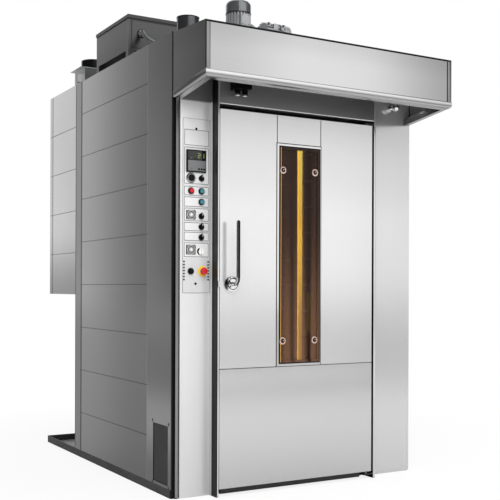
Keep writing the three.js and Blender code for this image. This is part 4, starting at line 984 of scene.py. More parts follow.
# ---------------------------------------------------------------- the oven's sub-assemblies
@dataclass
class Casing:
    """Cladding, base and the corner strips on the left of the front."""

    rib: tuple = ((19.5, -0.6, 4), (35.5, 0.2, 2396))
    tray: tuple = ((8, 1470, 4), (1552, 2008, 7))
    grille_plane: float = 3.0
    grille_front: float = 45.0
    grille_back: float = 230.0
    grille_foot: float = 60.0
    grille_top: float = 368.0
    grille_gauge: float = 1.2
    hole_pitch: float = 9.25
    hole_radius: float = 3.0
    hole_ease: float = 1.08
    merge_distance: float = 0.2

    def dress_panels(self) -> None:
        """Gives the cladding and the base their finishes."""
        coat_nodes(Finish.BASE, "base_frame")
        coat_nodes(Finish.SIDE, "left_cladding", "right_cladding")
        coat_nodes(Finish.REAR_POST, "left_rear_post")
        coat_nodes(Finish.FRONT_PANEL, "left_front_panel")
        coat_nodes(Finish.ZINC, "roof_panel", "left_wall", "right_wall", "rear_wall")
        # black all over: painted shade in the corner's grooves
        coat_nodes(Finish.RECESS, "corner_profile")

    def add_corner_rib(self) -> None:
        """Adds the grey extruded rib in the front corner's recess, whose black is painted shade."""
        rib = slab(*self.rib, 0.25)
        settle("corner_rib_cover", rib, Finish.GREY_RIB)

    def punched_cell(self, pitch_y: float, pitch_z: float) -> Mesh:
        """Makes one cell of the perforated sheet, a rectangle with an eight-sided hole.

        Args:
            pitch_y: The cell's depth in millimetres.
            pitch_z: Its height.

        Returns:
            The cell at the lower front corner of the sheet.
        """
        bm = bmesh.new()
        bmesh.ops.create_grid(bm, x_segments=1, y_segments=1, size=0.5)
        poked = bmesh.ops.poke(bm, faces=list(bm.faces))
        bmesh.ops.bevel(
            bm,
            geom=poked["verts"],
            offset=self.hole_radius / self.hole_pitch * self.hole_ease,
            offset_type="OFFSET",
            affect="VERTICES",
            segments=2,
            profile=0.5,
            material=-1,
        )
        hole = min(bm.faces, key=lambda face: face.calc_center_median().length)
        bmesh.ops.delete(bm, geom=[hole], context="FACES")
        bmesh.ops.scale(bm, vec=(pitch_y * MM, pitch_z * MM, 1.0), verts=bm.verts)
        upright = Matrix(((0, 0, 1, 0), (1, 0, 0, 0), (0, 1, 0, 0), (0, 0, 0, 1)))
        bmesh.ops.transform(bm, matrix=upright, verts=bm.verts)
        middle = (self.grille_front + pitch_y / 2, self.grille_foot + pitch_z / 2)
        bmesh.ops.translate(bm, vec=place(self.grille_plane, *middle), verts=bm.verts)
        return bm

    def add_grille(self) -> None:
        """Adds the perforated sheet behind the opening at the foot of the side."""
        depth = self.grille_back - self.grille_front
        height = self.grille_top - self.grille_foot
        columns, rows = round(depth / self.hole_pitch), round(height / self.hole_pitch)
        pitch_y, pitch_z = depth / columns, height / rows
        cell = self.punched_cell(pitch_y, pitch_z)
        sheet = settle("vent_sheet", cell, Finish.VENT)
        for step, count in (((0, pitch_y * MM, 0), columns), ((0, 0, pitch_z * MM), rows)):
            array = sheet.modifiers.new("repeat", "ARRAY")
            array.count = count
            array.use_relative_offset = False
            array.use_constant_offset = True
            array.constant_offset_displace = step
            array.use_merge_vertices = True
            array.merge_threshold = self.merge_distance * MM
        shell = sheet.modifiers.new("gauge", "SOLIDIFY")
        shell.thickness = self.grille_gauge * MM
        shell.offset = 0.0
        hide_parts("vent_grille")

    def add_base_tray(self) -> None:
        """Adds the tray sheet between the rails behind the body."""
        tray = slab(*self.tray, 0.5)
        settle("base_tray", tray, Finish.BASE_TRAY)

    def build(self) -> None:
        """Builds the casing's pieces."""
        self.dress_panels()
        self.add_corner_rib()
        self.add_grille()
        self.add_base_tray()


@dataclass
class ControlPanel:
    """The plate with the controller, push buttons, knobs and the emergency stop."""

    face: float = -3.0
    left: float = 57.0
    right: float = 214.0
    bottom: float = 1058.0
    top: float = 1962.0
    left_row: float = 103.5
    right_row: float = 164.0
    buzzer_row: float = 1653.5
    button_rows: tuple = (1587.0, 1531.0)
    last_row: float = 1170.8
    stop_place: float = 172.0
    plaques: tuple = (
        (1904.0, 1822.0),
        (1812.5, 1623.0),
        (1610.0, 1563.0),
        (1555.5, 1505.0),
        (1497.5, 1431.0),
        (1423.0, 1379.5),
        (1373.0, 1328.5),
        (1318.0, 1244.5),
    )
    plaque_bar: float = 2.8
    plate_bar: float = 1.4
    controller_low: tuple = (75.5, 1683.0)
    controller_high: tuple = (188.5, 1799.0)
    controller_face: float = -10.3
    screen_share: float = 0.54
    digit_width: float = 13.0
    digit_half: float = 12.0
    digit_bar: float = 1.9
    line_front: float = -21.7
    knobs: tuple = (
        ("fan_selector", 1653.5),
        ("steam_timer_knob", 1456.6),
        ("damper_selector", 1401.5),
        ("rotation_selector", 1347.0),
    )
    light_row: float = 1274.0
    dials: tuple = ((1488.0, 1438.0), (1308.0, 1256.0))
    dial_centre: float = 106.5
    screws: tuple = ((134, 1909.5), (132, 1106.0))
    screw_radius: float = 6.5
    louvre_columns: tuple = (65, 206)
    louvre_foot: float = 1127.0
    louvre_pitch: float = 15.5
    slot_shades: int = 7
    flange: tuple = ((217.4, -22.5, 2), (218.8, -0.4, 2358))

    def dress_nodes(self) -> None:
        """Gives the plate and its devices their finishes."""
        coat_nodes(Finish.COLUMN, "control_column")
        coat_nodes(Finish.FRONT, "right_column")
        coat_nodes(Finish.PLATE, "control_plate")
        knobs = [name for name, _ in self.knobs]
        coat_nodes(Finish.BLACK, "controller", *knobs, "black_button")
        coat_nodes(Finish.WHITE, "light_selector")
        coat_nodes(Finish.RED, "red_button", "emergency_stop")
        coat_nodes(Finish.TEAL, "upper_teal_button", "lower_teal_button")

    def add_plaques(self) -> None:
        """Adds the printed foils with their thin frames, one for each group of devices."""
        foils, lines = [], []
        left, right, face = self.left + 8, self.right - 7, self.face
        for top, bottom in self.plaques:
            foils.append(slab((left, face - 0.14, bottom), (right, face - 0.02, top)))
            low, high = (left, face - 0.24, bottom), (right, face - 0.15, top)
            lines.append(frame_ring(low, high, self.plaque_bar))
        low = (self.left + 0.2, face - 0.12, self.bottom + 0.5)
        high = (self.right - 0.2, face + 0.2, self.top - 0.5)
        lines.append(frame_ring(low, high, self.plate_bar))
        settle("group_foils", foils, Finish.PLAQUE)
        settle("group_frames", lines, Finish.PRINT)

    def add_controller(self) -> None:
        """Adds the controller's screen, lit digits, keypad film and keys."""
        (x0, z0), (x1, z1) = self.controller_low, self.controller_high
        middle = z0 + (z1 - z0) * self.screen_share
        front = self.controller_face
        screen = slab((x0 + 8, front - 0.6, middle), (x1 - 4, front + 1, z1 - 6), 0.3)
        settle("controller_screen", screen, Finish.SCREEN)
        film = slab((x0 + 8, front - 0.4, z0 + 7), (x1 - 3, front + 1, middle - 1), 0.2)
        settle("controller_film", film, Finish.KEYPAD)
        key = [(5.6, 0.2), (5.6, 1.2), (4.4, 1.8), (0.0, 1.9)]
        keys = [turned(key, (x0 + x, front, z0 + 17), Axis.Y, 16) for x in (71, 86, 101)]
        lamp = [(2.2, 0.2), (2.2, 1.0), (0, 1.0)]
        keys.append(turned(lamp, (x0 + 29, front, z0 + 19), Axis.Y, 12))
        settle("controller_keys", keys, Finish.BLACK)
        bars = self.digit_bars("abged", x0 + 65, middle + 12, front - 0.75)
        bars += self.digit_bars("bc", x0 + 87, middle + 12, front - 0.75)
        settle("controller_digits", bars, Finish.DIGITS)
        mark = slab((x0 + 20, front - 0.9, middle + 9), (x0 + 33, front - 0.55, middle + 12))
        settle("controller_mark", mark, Finish.KEYPAD)

    def digit_bars(self, lit: str, x: float, z: float, y: float) -> list[Mesh]:
        """Makes the lit bars of one seven-bar digit.

        Args:
            lit: The lit bars, a to g in the usual order.
            x: The digit's left edge.
            z: Its lower edge.
            y: Its face.

        Returns:
            The bars.
        """
        half, bar = self.digit_half, self.digit_bar
        right, middle, top = x + self.digit_width, z + half, z + 2 * half
        boxes = {
            "a": (x, top - bar, right, top),
            "g": (x, middle - bar / 2, right, middle + bar / 2),
            "d": (x, z, right, z + bar),
            "f": (x, middle, x + bar, top),
            "b": (right - bar, middle, right, top),
            "e": (x, z, x + bar, middle),
            "c": (right - bar, z, right, middle),
        }
        chosen = [boxes[name] for name in lit]
        return [slab((x0, y - 0.2, z0), (x1, y + 0.1, z1)) for x0, z0, x1, z1 in chosen]

    def add_rings(self) -> None:
        """Adds the buzzer, the buttons' bezels and the yellow disc of the emergency stop."""
        centre = (self.left_row, self.face, self.buzzer_row)
        cap = [
            (18.4, 7.1), (18.4, 8.4), (17.2, 9.2), (14.5, 9.3), (14.0, 8.4), (11.0, 8.4),
            (10.5, 9.4), (7.0, 9.5), (6.5, 8.6), (4.0, 8.6), (3.5, 9.6), (0.0, 9.7),
        ]
        settle("buzzer_cap", turned(cap, centre, Axis.Y), Finish.BLACK)
        collar = [
            (18.5, 7.1), (18.5, 8.0), (21.8, 7.8), (25.0, 5.4), (27.0, 2.0), (27.0, 0.2),
            (21.3, 0.2), (21.3, 7.1), (18.5, 7.1),
        ]
        settle("buzzer_collar", turned(collar, centre, Axis.Y), Finish.STRIP)
        ring = [(12.8, 0.2), (12.8, 8.4), (13.6, 9.0), (15.9, 8.6), (16.9, 7.0), (16.9, 0.2)]
        upper, lower = self.button_rows
        places = (
            (self.left_row, upper),
            (self.right_row, upper),
            (self.right_row, lower),
            (self.left_row, self.last_row),
        )
        bezels = [turned(ring, (x, self.face, z), Axis.Y, 28, True) for x, z in places]
        settle("button_bezels", bezels, Finish.BLACK)
        disc = [(17.3, 0.2), (17.3, 5.0), (24.0, 4.4), (27.0, 1.4), (27.0, 0.2), (17.3, 0.2)]
        stop = turned(disc, (self.stop_place, self.face, self.last_row), Axis.Y, 36)
        settle("stop_disc", stop, Finish.YELLOW)

    def add_pointers(self) -> None:
        """Adds the white line on each knob's grip and the shade of the light selector."""
        x, front = self.right_row, self.line_front
        for name, z in self.knobs:
            line = slab((x - 0.9, front, z + 4), (x + 0.9, front + 0.6, z + 15))
            settle(f"{name}_line", line, Finish.WHITE, name)
        shadow = [(19.0, 0.2), (19.0, 1.0), (18.2, 1.5), (0.0, 1.5)]
        crescent = turned(shadow, (x - 5, self.face + 0.1, self.light_row), Axis.Y)
        cut_away(crescent, place(x - 9, 0, 0), Axis.X)
        settle("light_selector_shade", crescent, Finish.BLACK)

    def add_dials(self) -> None:
        """Adds the two small engraved plates with their scale marks."""
        face, x = self.face, self.dial_centre
        for index, (top, bottom) in enumerate(self.dials, start=1):
            middle = (top + bottom) / 2
            centre = (x, face, middle)
            dial = EngravedDial(f"engraved_dial_{index}", "#c4c4c4", "#4c4c4c", centre)
            plate = slab((80, face - 1.0, bottom), (133, face - 0.1, top), 0.3)
            settle(f"dial_plate_{index}", plate, dial)
            edge = slab((77, face - 1.2, bottom), (81, face - 0.1, top), 0.2)
            settle(f"dial_edge_{index}", edge, Finish.RECESS)
            marks = []
            for step in range(12):
                bar = slab((x - 0.6, -1.5, middle + 16), (x + 0.6, -0.9, middle + 21))
                turn = Matrix.Rotation(2 * math.pi * step / 12, 4, "Y")
                transform_about(bar, place(x, 0, middle), turn)
                bmesh.ops.translate(bar, vec=(0, (face + 0.3) * MM, 0), verts=bar.verts)
                marks.append(bar)
            settle(f"dial_marks_{index}", marks, Finish.RECESS)
            hub = turned([(7, 0.2), (7, 3.0), (5.5, 3.8), (0, 4.0)], centre, Axis.Y, 24)
            settle(f"dial_hub_{index}", hub, Finish.WHITE)

    def add_fixings(self) -> None:
        """Adds the plate's two screws, painted shade at its slots and the column's flange beside
        the post.
        """
        face = self.face
        heads = [screw_head((x, face, z), self.screw_radius) for x, z in self.screws]
        settle("plate_screws", heads, Finish.RECESS)
        # black bars a little bigger than the slots: painted shade in them
        slot_shades = [
            slab((x - 5, face - 0.6, z - 4), (x + 5, face + 0.1, z + 4), 0.3)
            for x in self.louvre_columns
            for z in (self.louvre_foot + self.louvre_pitch * row for row in range(self.slot_shades))
        ]
        settle("plate_slot_shade_bars", slot_shades, Finish.RECESS)
        settle("column_flange", slab(*self.flange, 0.3), Finish.COLUMN)

    def build(self) -> None:
        """Builds the control panel's pieces."""
        self.dress_nodes()
        self.add_plaques()
        self.add_controller()
        self.add_rings()
        self.add_pointers()
        self.add_dials()
        self.add_fixings()


@dataclass
class Portal:
    """The frame round the doorway, the transom over the door and the lamps on it."""

    face: float = -75.0
    left_post: tuple = (219.0, 233.0)
    right_post: tuple = (1236.0, 1250.0)
    post_top: float = 2358.0
    # width of the post front's left strip left dark: painted shade on its rounded fold
    groove: float = 5.6
    keeper: tuple = (1092.0, 1118.0)
    transom: tuple = (234.0, 1235.0, 2040.0)
    spotlights: tuple = ((317.5, -110.3, 2085.0), (362.5, -110.3, 2085.0))

    def add_post_edges(self) -> None:
        """Adds the bright edges of the posts, the left one with the keeper's cover."""
        front, back, top = self.face - 0.7, self.face + 0.1, self.post_top
        # the post front's left strip stays uncovered; its dark finish is painted shade on the
        # rounded fold
        x0, x1 = self.left_post[0] + self.groove, self.left_post[1] - 0.4
        low, high = self.keeper
        parts = [
            slab((x0, front, 1), (x1, back, low), 0.2),
            slab((x0, front, high), (x1, back, top), 0.2),
            slab((x0, -80.9, low - 2), (x1, -80.1, high + 2), 0.2),
        ]
        settle("left_post_edge", parts, Finish.FRONT)
        x0, x1 = self.right_post[0] + 0.4, self.right_post[1] - 0.4
        part = slab((x0, front, 1), (x1, back, top), 0.2)
        settle("right_post_edge", part, Finish.FRONT)

    def build(self) -> None:
        """Builds the portal's pieces."""
        coat_nodes(Finish.POST, "door_frame")
        coat_nodes(Finish.TRANSOM, "transom_panel")
        coat_nodes(Finish.BLACK, "left_spotlight")
        coat_nodes(Finish.CHROME, "right_spotlight")
        self.add_post_edges()
        left, right, bottom = self.transom
        # the transom's lower fold, bright with a painted highlight
        edge = slab((left, self.face - 0.8, bottom), (right, self.face + 0.1, bottom + 5), 0.3)
        settle("transom_edge", edge, Finish.EDGE_HIGHLIGHT)
        lens = [(13.0, 0.6), (13.0, -1.0), (9.5, -4.0), (0.0, -5.5)]
        rim = [(15.3, 8.0), (16.4, 7.0), (16.4, -1.5), (13.2, -1.5), (13.2, 0.5)]
        for name, profile, finish in (
            ("spotlight_lenses", lens, Finish.LENS),
            ("spotlight_rims", rim, Finish.CHROME),
        ):
            pair = [turned(profile, centre, Axis.Z, 24) for centre in self.spotlights]
            settle(name, pair, finish)


@dataclass
class Door:
    """The glazed door with its handle, clips, seal and hinges."""

    face: float = -75.0
    glass: tuple = (611.0, 848.0, 683.0, 1845.0)
    window: tuple = (584.0, 867.0, 664.5, 1867.0)
    width: tuple = (236.5, 1222.5)
    top: float = 2012.0
    joint: float = 4.0
    outline: float = 4.2
    gasket: float = 6.5
    border: float = 13.0
    clip_face: float = -72.4
    rose: tuple = (304.0, -95.0, 1105.0)
    hinge: tuple = (1201.0, -49.0)

    def dress_nodes(self) -> TintedGlass:
        """Gives the door's nodes their finishes.

        Returns:
            The finish of the glass's darker border.
        """
        coat_nodes(Finish.FRONT, "door_skin_upper")
        coat_nodes(Finish.DOOR_FOOT, "door_skin_lower")
        coat_nodes(Finish.INNER, "door_core")
        coat_nodes(Finish.CHROME, "window_frame")
        coat_nodes(Finish.ROSE, "handle_rose")
        coat_nodes(Finish.HANDLE, "handle_lever")
        coat_nodes(Finish.RUBBER, "door_seal")
        coat_nodes(Finish.DARK_STEEL, "upper_hinge", "lower_hinge")
        rise = Fade(Axis.Z, 700.0, 1500.0, 1.0)
        outer = TintedGlass("bronze_glass", "#3a2820", "#785640", "#20140e", 0.5, rise)
        inner = TintedGlass("bronze_glass_inner", "#40302a", "#5c4636", "#3a2c24", 0.06, rise)
        coat_nodes(outer, "outer_glass")
        coat_nodes(inner, "inner_glass")
        return TintedGlass("bronze_glass_border", "#2c1e18", "#5e4232", "#1c120e", 1.0, rise)

    def add_clips(self) -> None:
        """Adds the four round clips that hold the outer pane."""
        left, right, bottom, top = self.glass
        front = self.clip_face
        ring = [(12.0, 0.1), (12.0, 5.6), (13.0, 7.0), (17.0, 7.2), (20.0, 5.4), (20.0, 0.1)]
        dome = [(11.6, 0.1), (11.6, 5.4), (8.0, 6.2), (0.0, 6.6)]
        # bright three-sided heads on the bolts: small screws that also stand for the clips' painted
        # highlight
        head = [(5.0, 6.4), (5.0, 7.6), (0.0, 7.9)]
        rings, bolts, screws = [], [], []
        for x in (left + 10, right - 20):
            for z in (bottom + 118, top - 124):
                rings.append(turned(ring, (x, front, z), Axis.Y, 28, True))
                bolts.append(turned(dome, (x, front, z), Axis.Y, 20))
                screws.append(turned(head, (x + 2, front, z + 1), Axis.Y, 3))
        settle("glass_clips", rings, Finish.CLIP, "door")
        settle("glass_clip_bolts", bolts, Finish.RECESS, "door")
        settle("glass_clip_glint_heads", screws, Finish.CLIP, "door")

    def add_glass_trim(self, dark_glass: TintedGlass) -> None:
        """Adds the gasket, the glass's border and the strip at its left edge, amber with painted
        lamp light.

        Args:
            dark_glass: The border's finish.
        """
        left, right, bottom, top = self.glass
        low, high = (left - 15, -78.0, bottom - 7), (right + 16, -76.8, top + 7)
        gasket = frame_ring(low, high, self.gasket)
        settle("glass_gasket", gasket, Finish.RECESS, "door")
        low, high = (left - 9, -77.7, bottom - 1), (right + 10, -76.9, top + 1)
        border = frame_ring(low, high, self.border)
        settle("glass_border", border, dark_glass, "door")
        strip = slab((left - 5, -78.2, bottom + 2), (left - 1, -77.6, top - 2), 0.2)
        settle("glass_spacer", strip, Finish.AMBER_EDGE_LIGHT, "door")

    def add_joints(self) -> None:
        """Adds the dark joints of the skins round and above the window and under it."""
        left, right, bottom, top = self.window
        back, half = self.face + 0.1, self.joint / 2
        lines = [
            slab((x - half, -75.5, top - 1), (x + half, back, self.top)) for x in (left, right)
        ]
        low, high = (left - 4.6, -75.5, bottom), (right + 4.6, back, top)
        lines.append(frame_ring(low, high, self.outline))
        start, end = self.width
        lines.append(slab((start, -75.4, bottom - 3.7), (end, back, bottom - 0.3)))
        settle("door_joints", lines, Finish.RECESS, "door")

    def add_rose_parts(self) -> None:
        """Adds the groove and the two screws of the handle's rose."""
        groove = [(27.0, 0.1), (27.0, 0.7), (31.0, 0.7), (31.0, 0.1)]
        ring = turned(groove, self.rose, Axis.Y, 40, True)
        settle("rose_groove", ring, Finish.RECESS, "door")
        x, y, z = self.rose
        heads = [screw_head((x + dx, y, z + dz), 4.6) for dx, dz in ((-16, -14), (17, 14))]
        settle("rose_screws", heads, Finish.DARK_STEEL, "door")

    def add_hinge_rings(self) -> None:
        """Adds the bright bearing rings at the ends of the hinge pins."""
        profile = [(8.6, 0.2), (8.6, 4.4), (13.0, 4.4), (14.0, 3.4), (14.0, 0.2)]
        rings = [
            turned([(r, h * sign) for r, h in profile], (*self.hinge, z), Axis.Z, 24, True)
            for z, sign in ((2019.0, -1), (29.0, 1))
        ]
        settle("hinge_bearings", rings, Finish.CHROME)

    def build(self) -> None:
        """Builds the door's pieces."""
        dark_glass = self.dress_nodes()
        self.add_clips()
        self.add_glass_trim(dark_glass)
        self.add_joints()
        self.add_rose_parts()
        self.add_hinge_rings()


@dataclass
class Hood:
    """The steam hood over the door."""

    front: float = -361.0
    panel_bottom: float = 2137.0
    panel_top: float = 2371.0
    width: float = 1560.0
    cap_width: float = 27.0
    fall: float = 46 / 361
    lip_height: float = 37.0
    lip_reach: float = 5.95
    lip_bar: float = 44.0
    lip_inset: float = 0.05
    lip_round: tuple = (18.0, 6)
    lip_ease: tuple = (7.0, 4)

    def add_seams(self) -> None:
        """Adds the end flanges and the dark seams of the front panel."""
        y0, y1 = self.front - 0.8, self.front + 0.1
        bottom, top = self.panel_bottom, self.panel_top
        right, cap = self.width - 0.5, self.width - self.cap_width
        ends = [
            slab((6.0, y0, bottom), (self.cap_width, y1, top - 11), 0.25),
            slab((cap, y0, bottom), (right, y1, top - 11), 0.25),
        ]
        settle("hood_end_flanges", ends, Finish.STRIP)
        lines = [
            slab((0.3, y0 - 0.1, bottom), (5.6, y1, top)),
            slab((cap - 6, y0 - 0.1, bottom), (cap, y1, top - 11)),
            slab((4.0, y0 - 0.1, top - 10), (right, y1, top - 0.5)),
        ]
        settle("hood_seams", lines, Finish.RECESS)

    @staticmethod
    def runs_outside(
        edge: bmesh.types.BMEdge, low: Vector, high: Vector, height: float, ends: bool
    ) -> bool:
        """Tells whether an edge of the lip runs round its outside at a height.

        Args:
            edge: The edge.
            low: The lip's lowest corner, in metres.
            high: Its highest corner.
            height: The height.
            ends: Whether the edges of the two ends count too.

        Returns:
            True for such an edge.
        """
        near = 0.5 * MM
        a, b = (vert.co for vert in edge.verts)
        if abs(a.z - height) > near or abs(b.z - height) > near:
            return False
        if abs(a.y - low.y) < near and abs(b.y - low.y) < near:
            return True
        sides = (low.x, high.x) if ends else ()
        return any(abs(a.x - side) < near and abs(b.x - side) < near for side in sides)

    def add_lip(self) -> None:
        """Adds the rounded lip under the front and the end panels, mitred at the corners."""
        top = self.panel_bottom - 1
        bottom, front, wall = top - self.lip_height, self.front - self.lip_reach, -0.4
        left, right = self.lip_inset, self.width - self.lip_inset
        lip = frame_ring((left, front, bottom), (right, 50, top), self.lip_bar, Axis.Z)
        cut_away(lip, place(0, wall, 0), Axis.Y)
        low, high = place(left, front, bottom), place(right, wall, top)
        for height, ends, (amount, steps) in (
            (low.z, True, self.lip_round),
            (high.z, False, self.lip_ease),
        ):
            edges = [edge for edge in lip.edges if self.runs_outside(edge, low, high, height, ends)]
            bevel(lip, edges, amount, steps)
        shear = Matrix.Identity(4)
        shear[2][1] = -self.fall
        transform_about(lip, place(0, self.front, 0), shear)
        piece = settle("rolled_hood_lip", lip, Finish.LIP)
        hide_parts("hood_lip")

    def build(self) -> None:
        """Builds the hood's pieces."""
        coat_nodes(Finish.HOOD, "hood_shell")
        coat_nodes(Finish.LIP, "hood_lip")
        self.add_seams()
        self.add_lip()


@dataclass
class RearUnit:
    """The heat exchanger housing behind the body and its flue."""

    pipe: tuple = (252.5, 1809.5, 2590.0)
    flanges: tuple = (
        ((118, 1700, 2583), (149.8, 1913, 2587)),
        ((149.8, 1700, 2583), (386, 1707.2, 2587)),
    )

    def build(self) -> None:
        """Builds the rear unit's pieces."""
        coat_nodes(Finish.REAR, "rear_unit")
        coat_nodes(Finish.CAST_DARK, "heat_exchanger")
        coat_nodes(Finish.FLUE_BOX, "flue")
        coat_nodes(Finish.ZINC, "flue_damper")
        band = [(85.3, 0.0), (87.0, 1.0), (87.0, 64.0), (85.3, 65.0)]
        skin = turned(band, self.pipe, Axis.Z, 48, True)
        settle("flue_pipe_skin", skin, Finish.FLUE_PIPE)
        flanges = [slab(*corners, 0.8) for corners in self.flanges]
        settle("flue_flanges", flanges, Finish.ZINC)


@dataclass
class RoofEquipment:
    """Everything that stands on the roof."""

    conduit_start: tuple = (184, 829.7, 2609)
    conduit_end: tuple = (120, 330, 2400.3)
    conduit_straight: float = 30.0
    conduit_handles: tuple = ((184, 720, 2518), (130, 380, 2420))
    conduit_rings: int = 34
    conduit_radius: float = 15.0
    conduit_rib: float = 3.4
    conduit_wall: float = 2.5
    conduit_gland: tuple = (184, 829.6, 2609)
    motor: tuple = (728, 610)
    cowl_top: float = 2826.6
    cowl_seam: float = 2747.5
    terminal: tuple = ((701, 519.0, 2667), (755, 520.8, 2729))
    terminal_screw_inset: float = 5.0
    steam_outlet: tuple = (159, 150, 2523.2)
    bottom_shade: tuple = ((104, 834, 2501.0), (636, 1350, 2502.7))
    box_frame: tuple = ((118, 828.8, 2516), (622, 830.2, 2690))

    def dress_nodes(self) -> None:
        """Gives the roof equipment its finishes."""
        coat_nodes(Finish.ROOF_BOX, "fan_housing")
        coat_nodes(Finish.LID, "fan_housing_lid")
        coat_nodes(Finish.CAST_DARK, "fan_motor")
        coat_nodes(Finish.CAST, "gear_motor", "extractor_motor")
        coat_nodes(Finish.COWL, "motor_cowl")
        coat_nodes(Finish.PIPE, "steam_outlet")
        coat_nodes(Finish.ZINC, "conduit")

    def conduit_line(self) -> list[Vector]:
        """Returns the conduit's middle line, ring by ring, in metres."""
        start, end = Vector(self.conduit_start), Vector(self.conduit_end)
        leave = place(*(start - Vector((0, self.conduit_straight, 0))))
        arrive = place(*(end + Vector((0, 0, self.conduit_straight))))
        start, end = place(*start), place(*end)
        first, second = (place(*handle) for handle in self.conduit_handles)
        bend = interpolate_bezier(leave, first, second, arrive, 2 * self.conduit_rings)
        line = [start.lerp(leave, step / 6) for step in range(6)] + list(bend)
        return line + [arrive.lerp(end, step / 6) for step in range(1, 7)]

    def add_conduit(self) -> None:
        """Adds the ribbed metal conduit, ring by ring along its bent line, and its glands."""
        line = self.conduit_line()
        side = Vector((1, 0, 0))
        bm = bmesh.new()
        bmesh.ops.create_circle(bm, cap_ends=False, segments=16, radius=self.conduit_radius * MM)
        verts, edges = list(bm.verts), list(bm.edges)
        before = Matrix.Identity(4)
        for index, point in enumerate(line):
            ahead = line[min(index + 1, len(line) - 1)] - line[max(index - 1, 0)]
            forward = ahead.normalized()
            across = side.cross(forward).normalized()
            over = forward.cross(across)
            size = 1.0 - (self.conduit_rib / self.conduit_radius if index % 2 else 0.0)
            turn = Matrix((over, across, forward)).transposed().to_4x4()
            here = Matrix.Translation(point) @ turn @ Matrix.Diagonal((size, size, 1.0, 1.0))
            if index:
                grown = bmesh.ops.extrude_edge_only(bm, edges=edges)["geom"]
                verts = [item for item in grown if isinstance(item, bmesh.types.BMVert)]
                edges = [item for item in grown if isinstance(item, bmesh.types.BMEdge)]
            bmesh.ops.transform(bm, matrix=here @ before.inverted(), verts=verts)
            before = here
        piece = settle("ribbed_conduit", bm, Finish.CONDUIT)
        wall = piece.modifiers.new("wall", "SOLIDIFY")
        wall.thickness = self.conduit_wall * MM
        wall.offset = -1.0
        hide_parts("conduit")
        nut = [(15.6, 0.1), (24.0, 0.1), (24.0, 7.0), (22.0, 9.0), (15.6, 9.0)]
        glands = [
            turned(nut, self.conduit_gland, Axis.Y, 6, True),
            turned(nut, (120, 330, 2400.4), Axis.Z, 6, True),
        ]
        settle("conduit_glands", glands, Finish.CONDUIT)

    def add_terminal_box(self) -> None:
        """Adds the cover of the gear motor's terminal box and its screws."""
        settle("terminal_cover", slab(*self.terminal, 1.0), Finish.TERMINAL)
        (x0, face, z0), (x1, _, z1) = self.terminal
        inset = self.terminal_screw_inset
        places = [(x, face, z) for x in (x0 + inset, x1 - inset) for z in (z0 + inset, z1 - inset)]
        heads = [screw_head(centre, 3.0) for centre in places]
        settle("terminal_screws", heads, Finish.DARK_STEEL)

    def add_rims(self) -> None:
        """Adds the rings on the motor's cowl, its rim and the steam outlet's rim."""
        rings = []
        # dark rings of painted shade in the cowl's vent slots
        for radius in (31, 37, 43):
            slot = [(radius, -0.3), (radius, 0.3), (radius + 2.5, 0.3), (radius + 2.5, -0.3)]
            rings.append(turned(slot, (*self.motor, self.cowl_top), Axis.Z, closed=True))
        settle("cowl_vents", rings, Finish.RECESS)
        collar = [(60.2, 0.0), (61.6, 0.6), (61.6, 4.4), (60.2, 5.0)]
        rim = turned(collar, self.steam_outlet, Axis.Z, 40, True)
        settle("steam_outlet_rim", rim, Finish.FLUE_PIPE)
        seam = [(77.1, 0.0), (78.6, 1.0), (78.6, 5.0), (77.1, 6.0)]
        rim = turned(seam, (*self.motor, self.cowl_seam), Axis.Z, 40, True)
        settle("cowl_rim", rim, Finish.DARK_STEEL)

    def add_cast_fittings(self) -> None:
        """Adds the gear motor's cable gland and the extractor's cast fittings."""
        gland = [
            (0.0, 0.0), (9.0, 0.0), (9.0, 10.0), (14.0, 10.0), (14.0, 20.0), (10.0, 22.0),
            (10.0, 30.0), (7.0, 33.0), (0.0, 33.0),
        ]
        lug = turned(gland, (801, 600, 2688), Axis.X, 12)
        settle("motor_gland", lug, Finish.CAST)
        knob = [(0.0, 0.0), (13.0, 0.0), (13.0, 12.0), (9.0, 16.0), (9.0, 24.0), (0.0, 24.0)]
        lumps = [
            turned(knob, centre, axis, 10)
            for centre, axis in (
                ((676, 166, 2560), Axis.Z),
                ((712, 160, 2556), Axis.Z),
                ((738, 142, 2545), Axis.Y),
                ((770, 160, 2556), Axis.Z),
            )
        ]
        lumps.append(slab((690, 136, 2540), (738, 172, 2574), 4.0))
        settle("extractor_fittings", lumps, Finish.CAST_LIGHT)

    def add_box_parts(self) -> None:
        """Adds a black sheet of painted shade in the fan box's open bottom, its front frame and the
        boss of the conduit.
        """
        # black sheet over the box's open bottom: painted shade under the box
        settle("fan_box_shade_sheet", slab(*self.bottom_shade, 0.5), Finish.RECESS)
        settle("fan_box_frame", frame_ring(*self.box_frame, 7.0), Finish.BOX_FRAME)
        boss = [(15.8, 0.0), (26.0, 0.0), (26.0, 3.0), (22.0, 6.0), (15.8, 7.0)]
        cap = turned(boss, self.conduit_gland, Axis.Y, 28, True)
        settle("conduit_boss", cap, Finish.RECESS)

    def build(self) -> None:
        """Builds the roof equipment's pieces."""
        self.dress_nodes()
        self.add_conduit()
        self.add_terminal_box()
        self.add_rims()
        self.add_cast_fittings()
        self.add_box_parts()


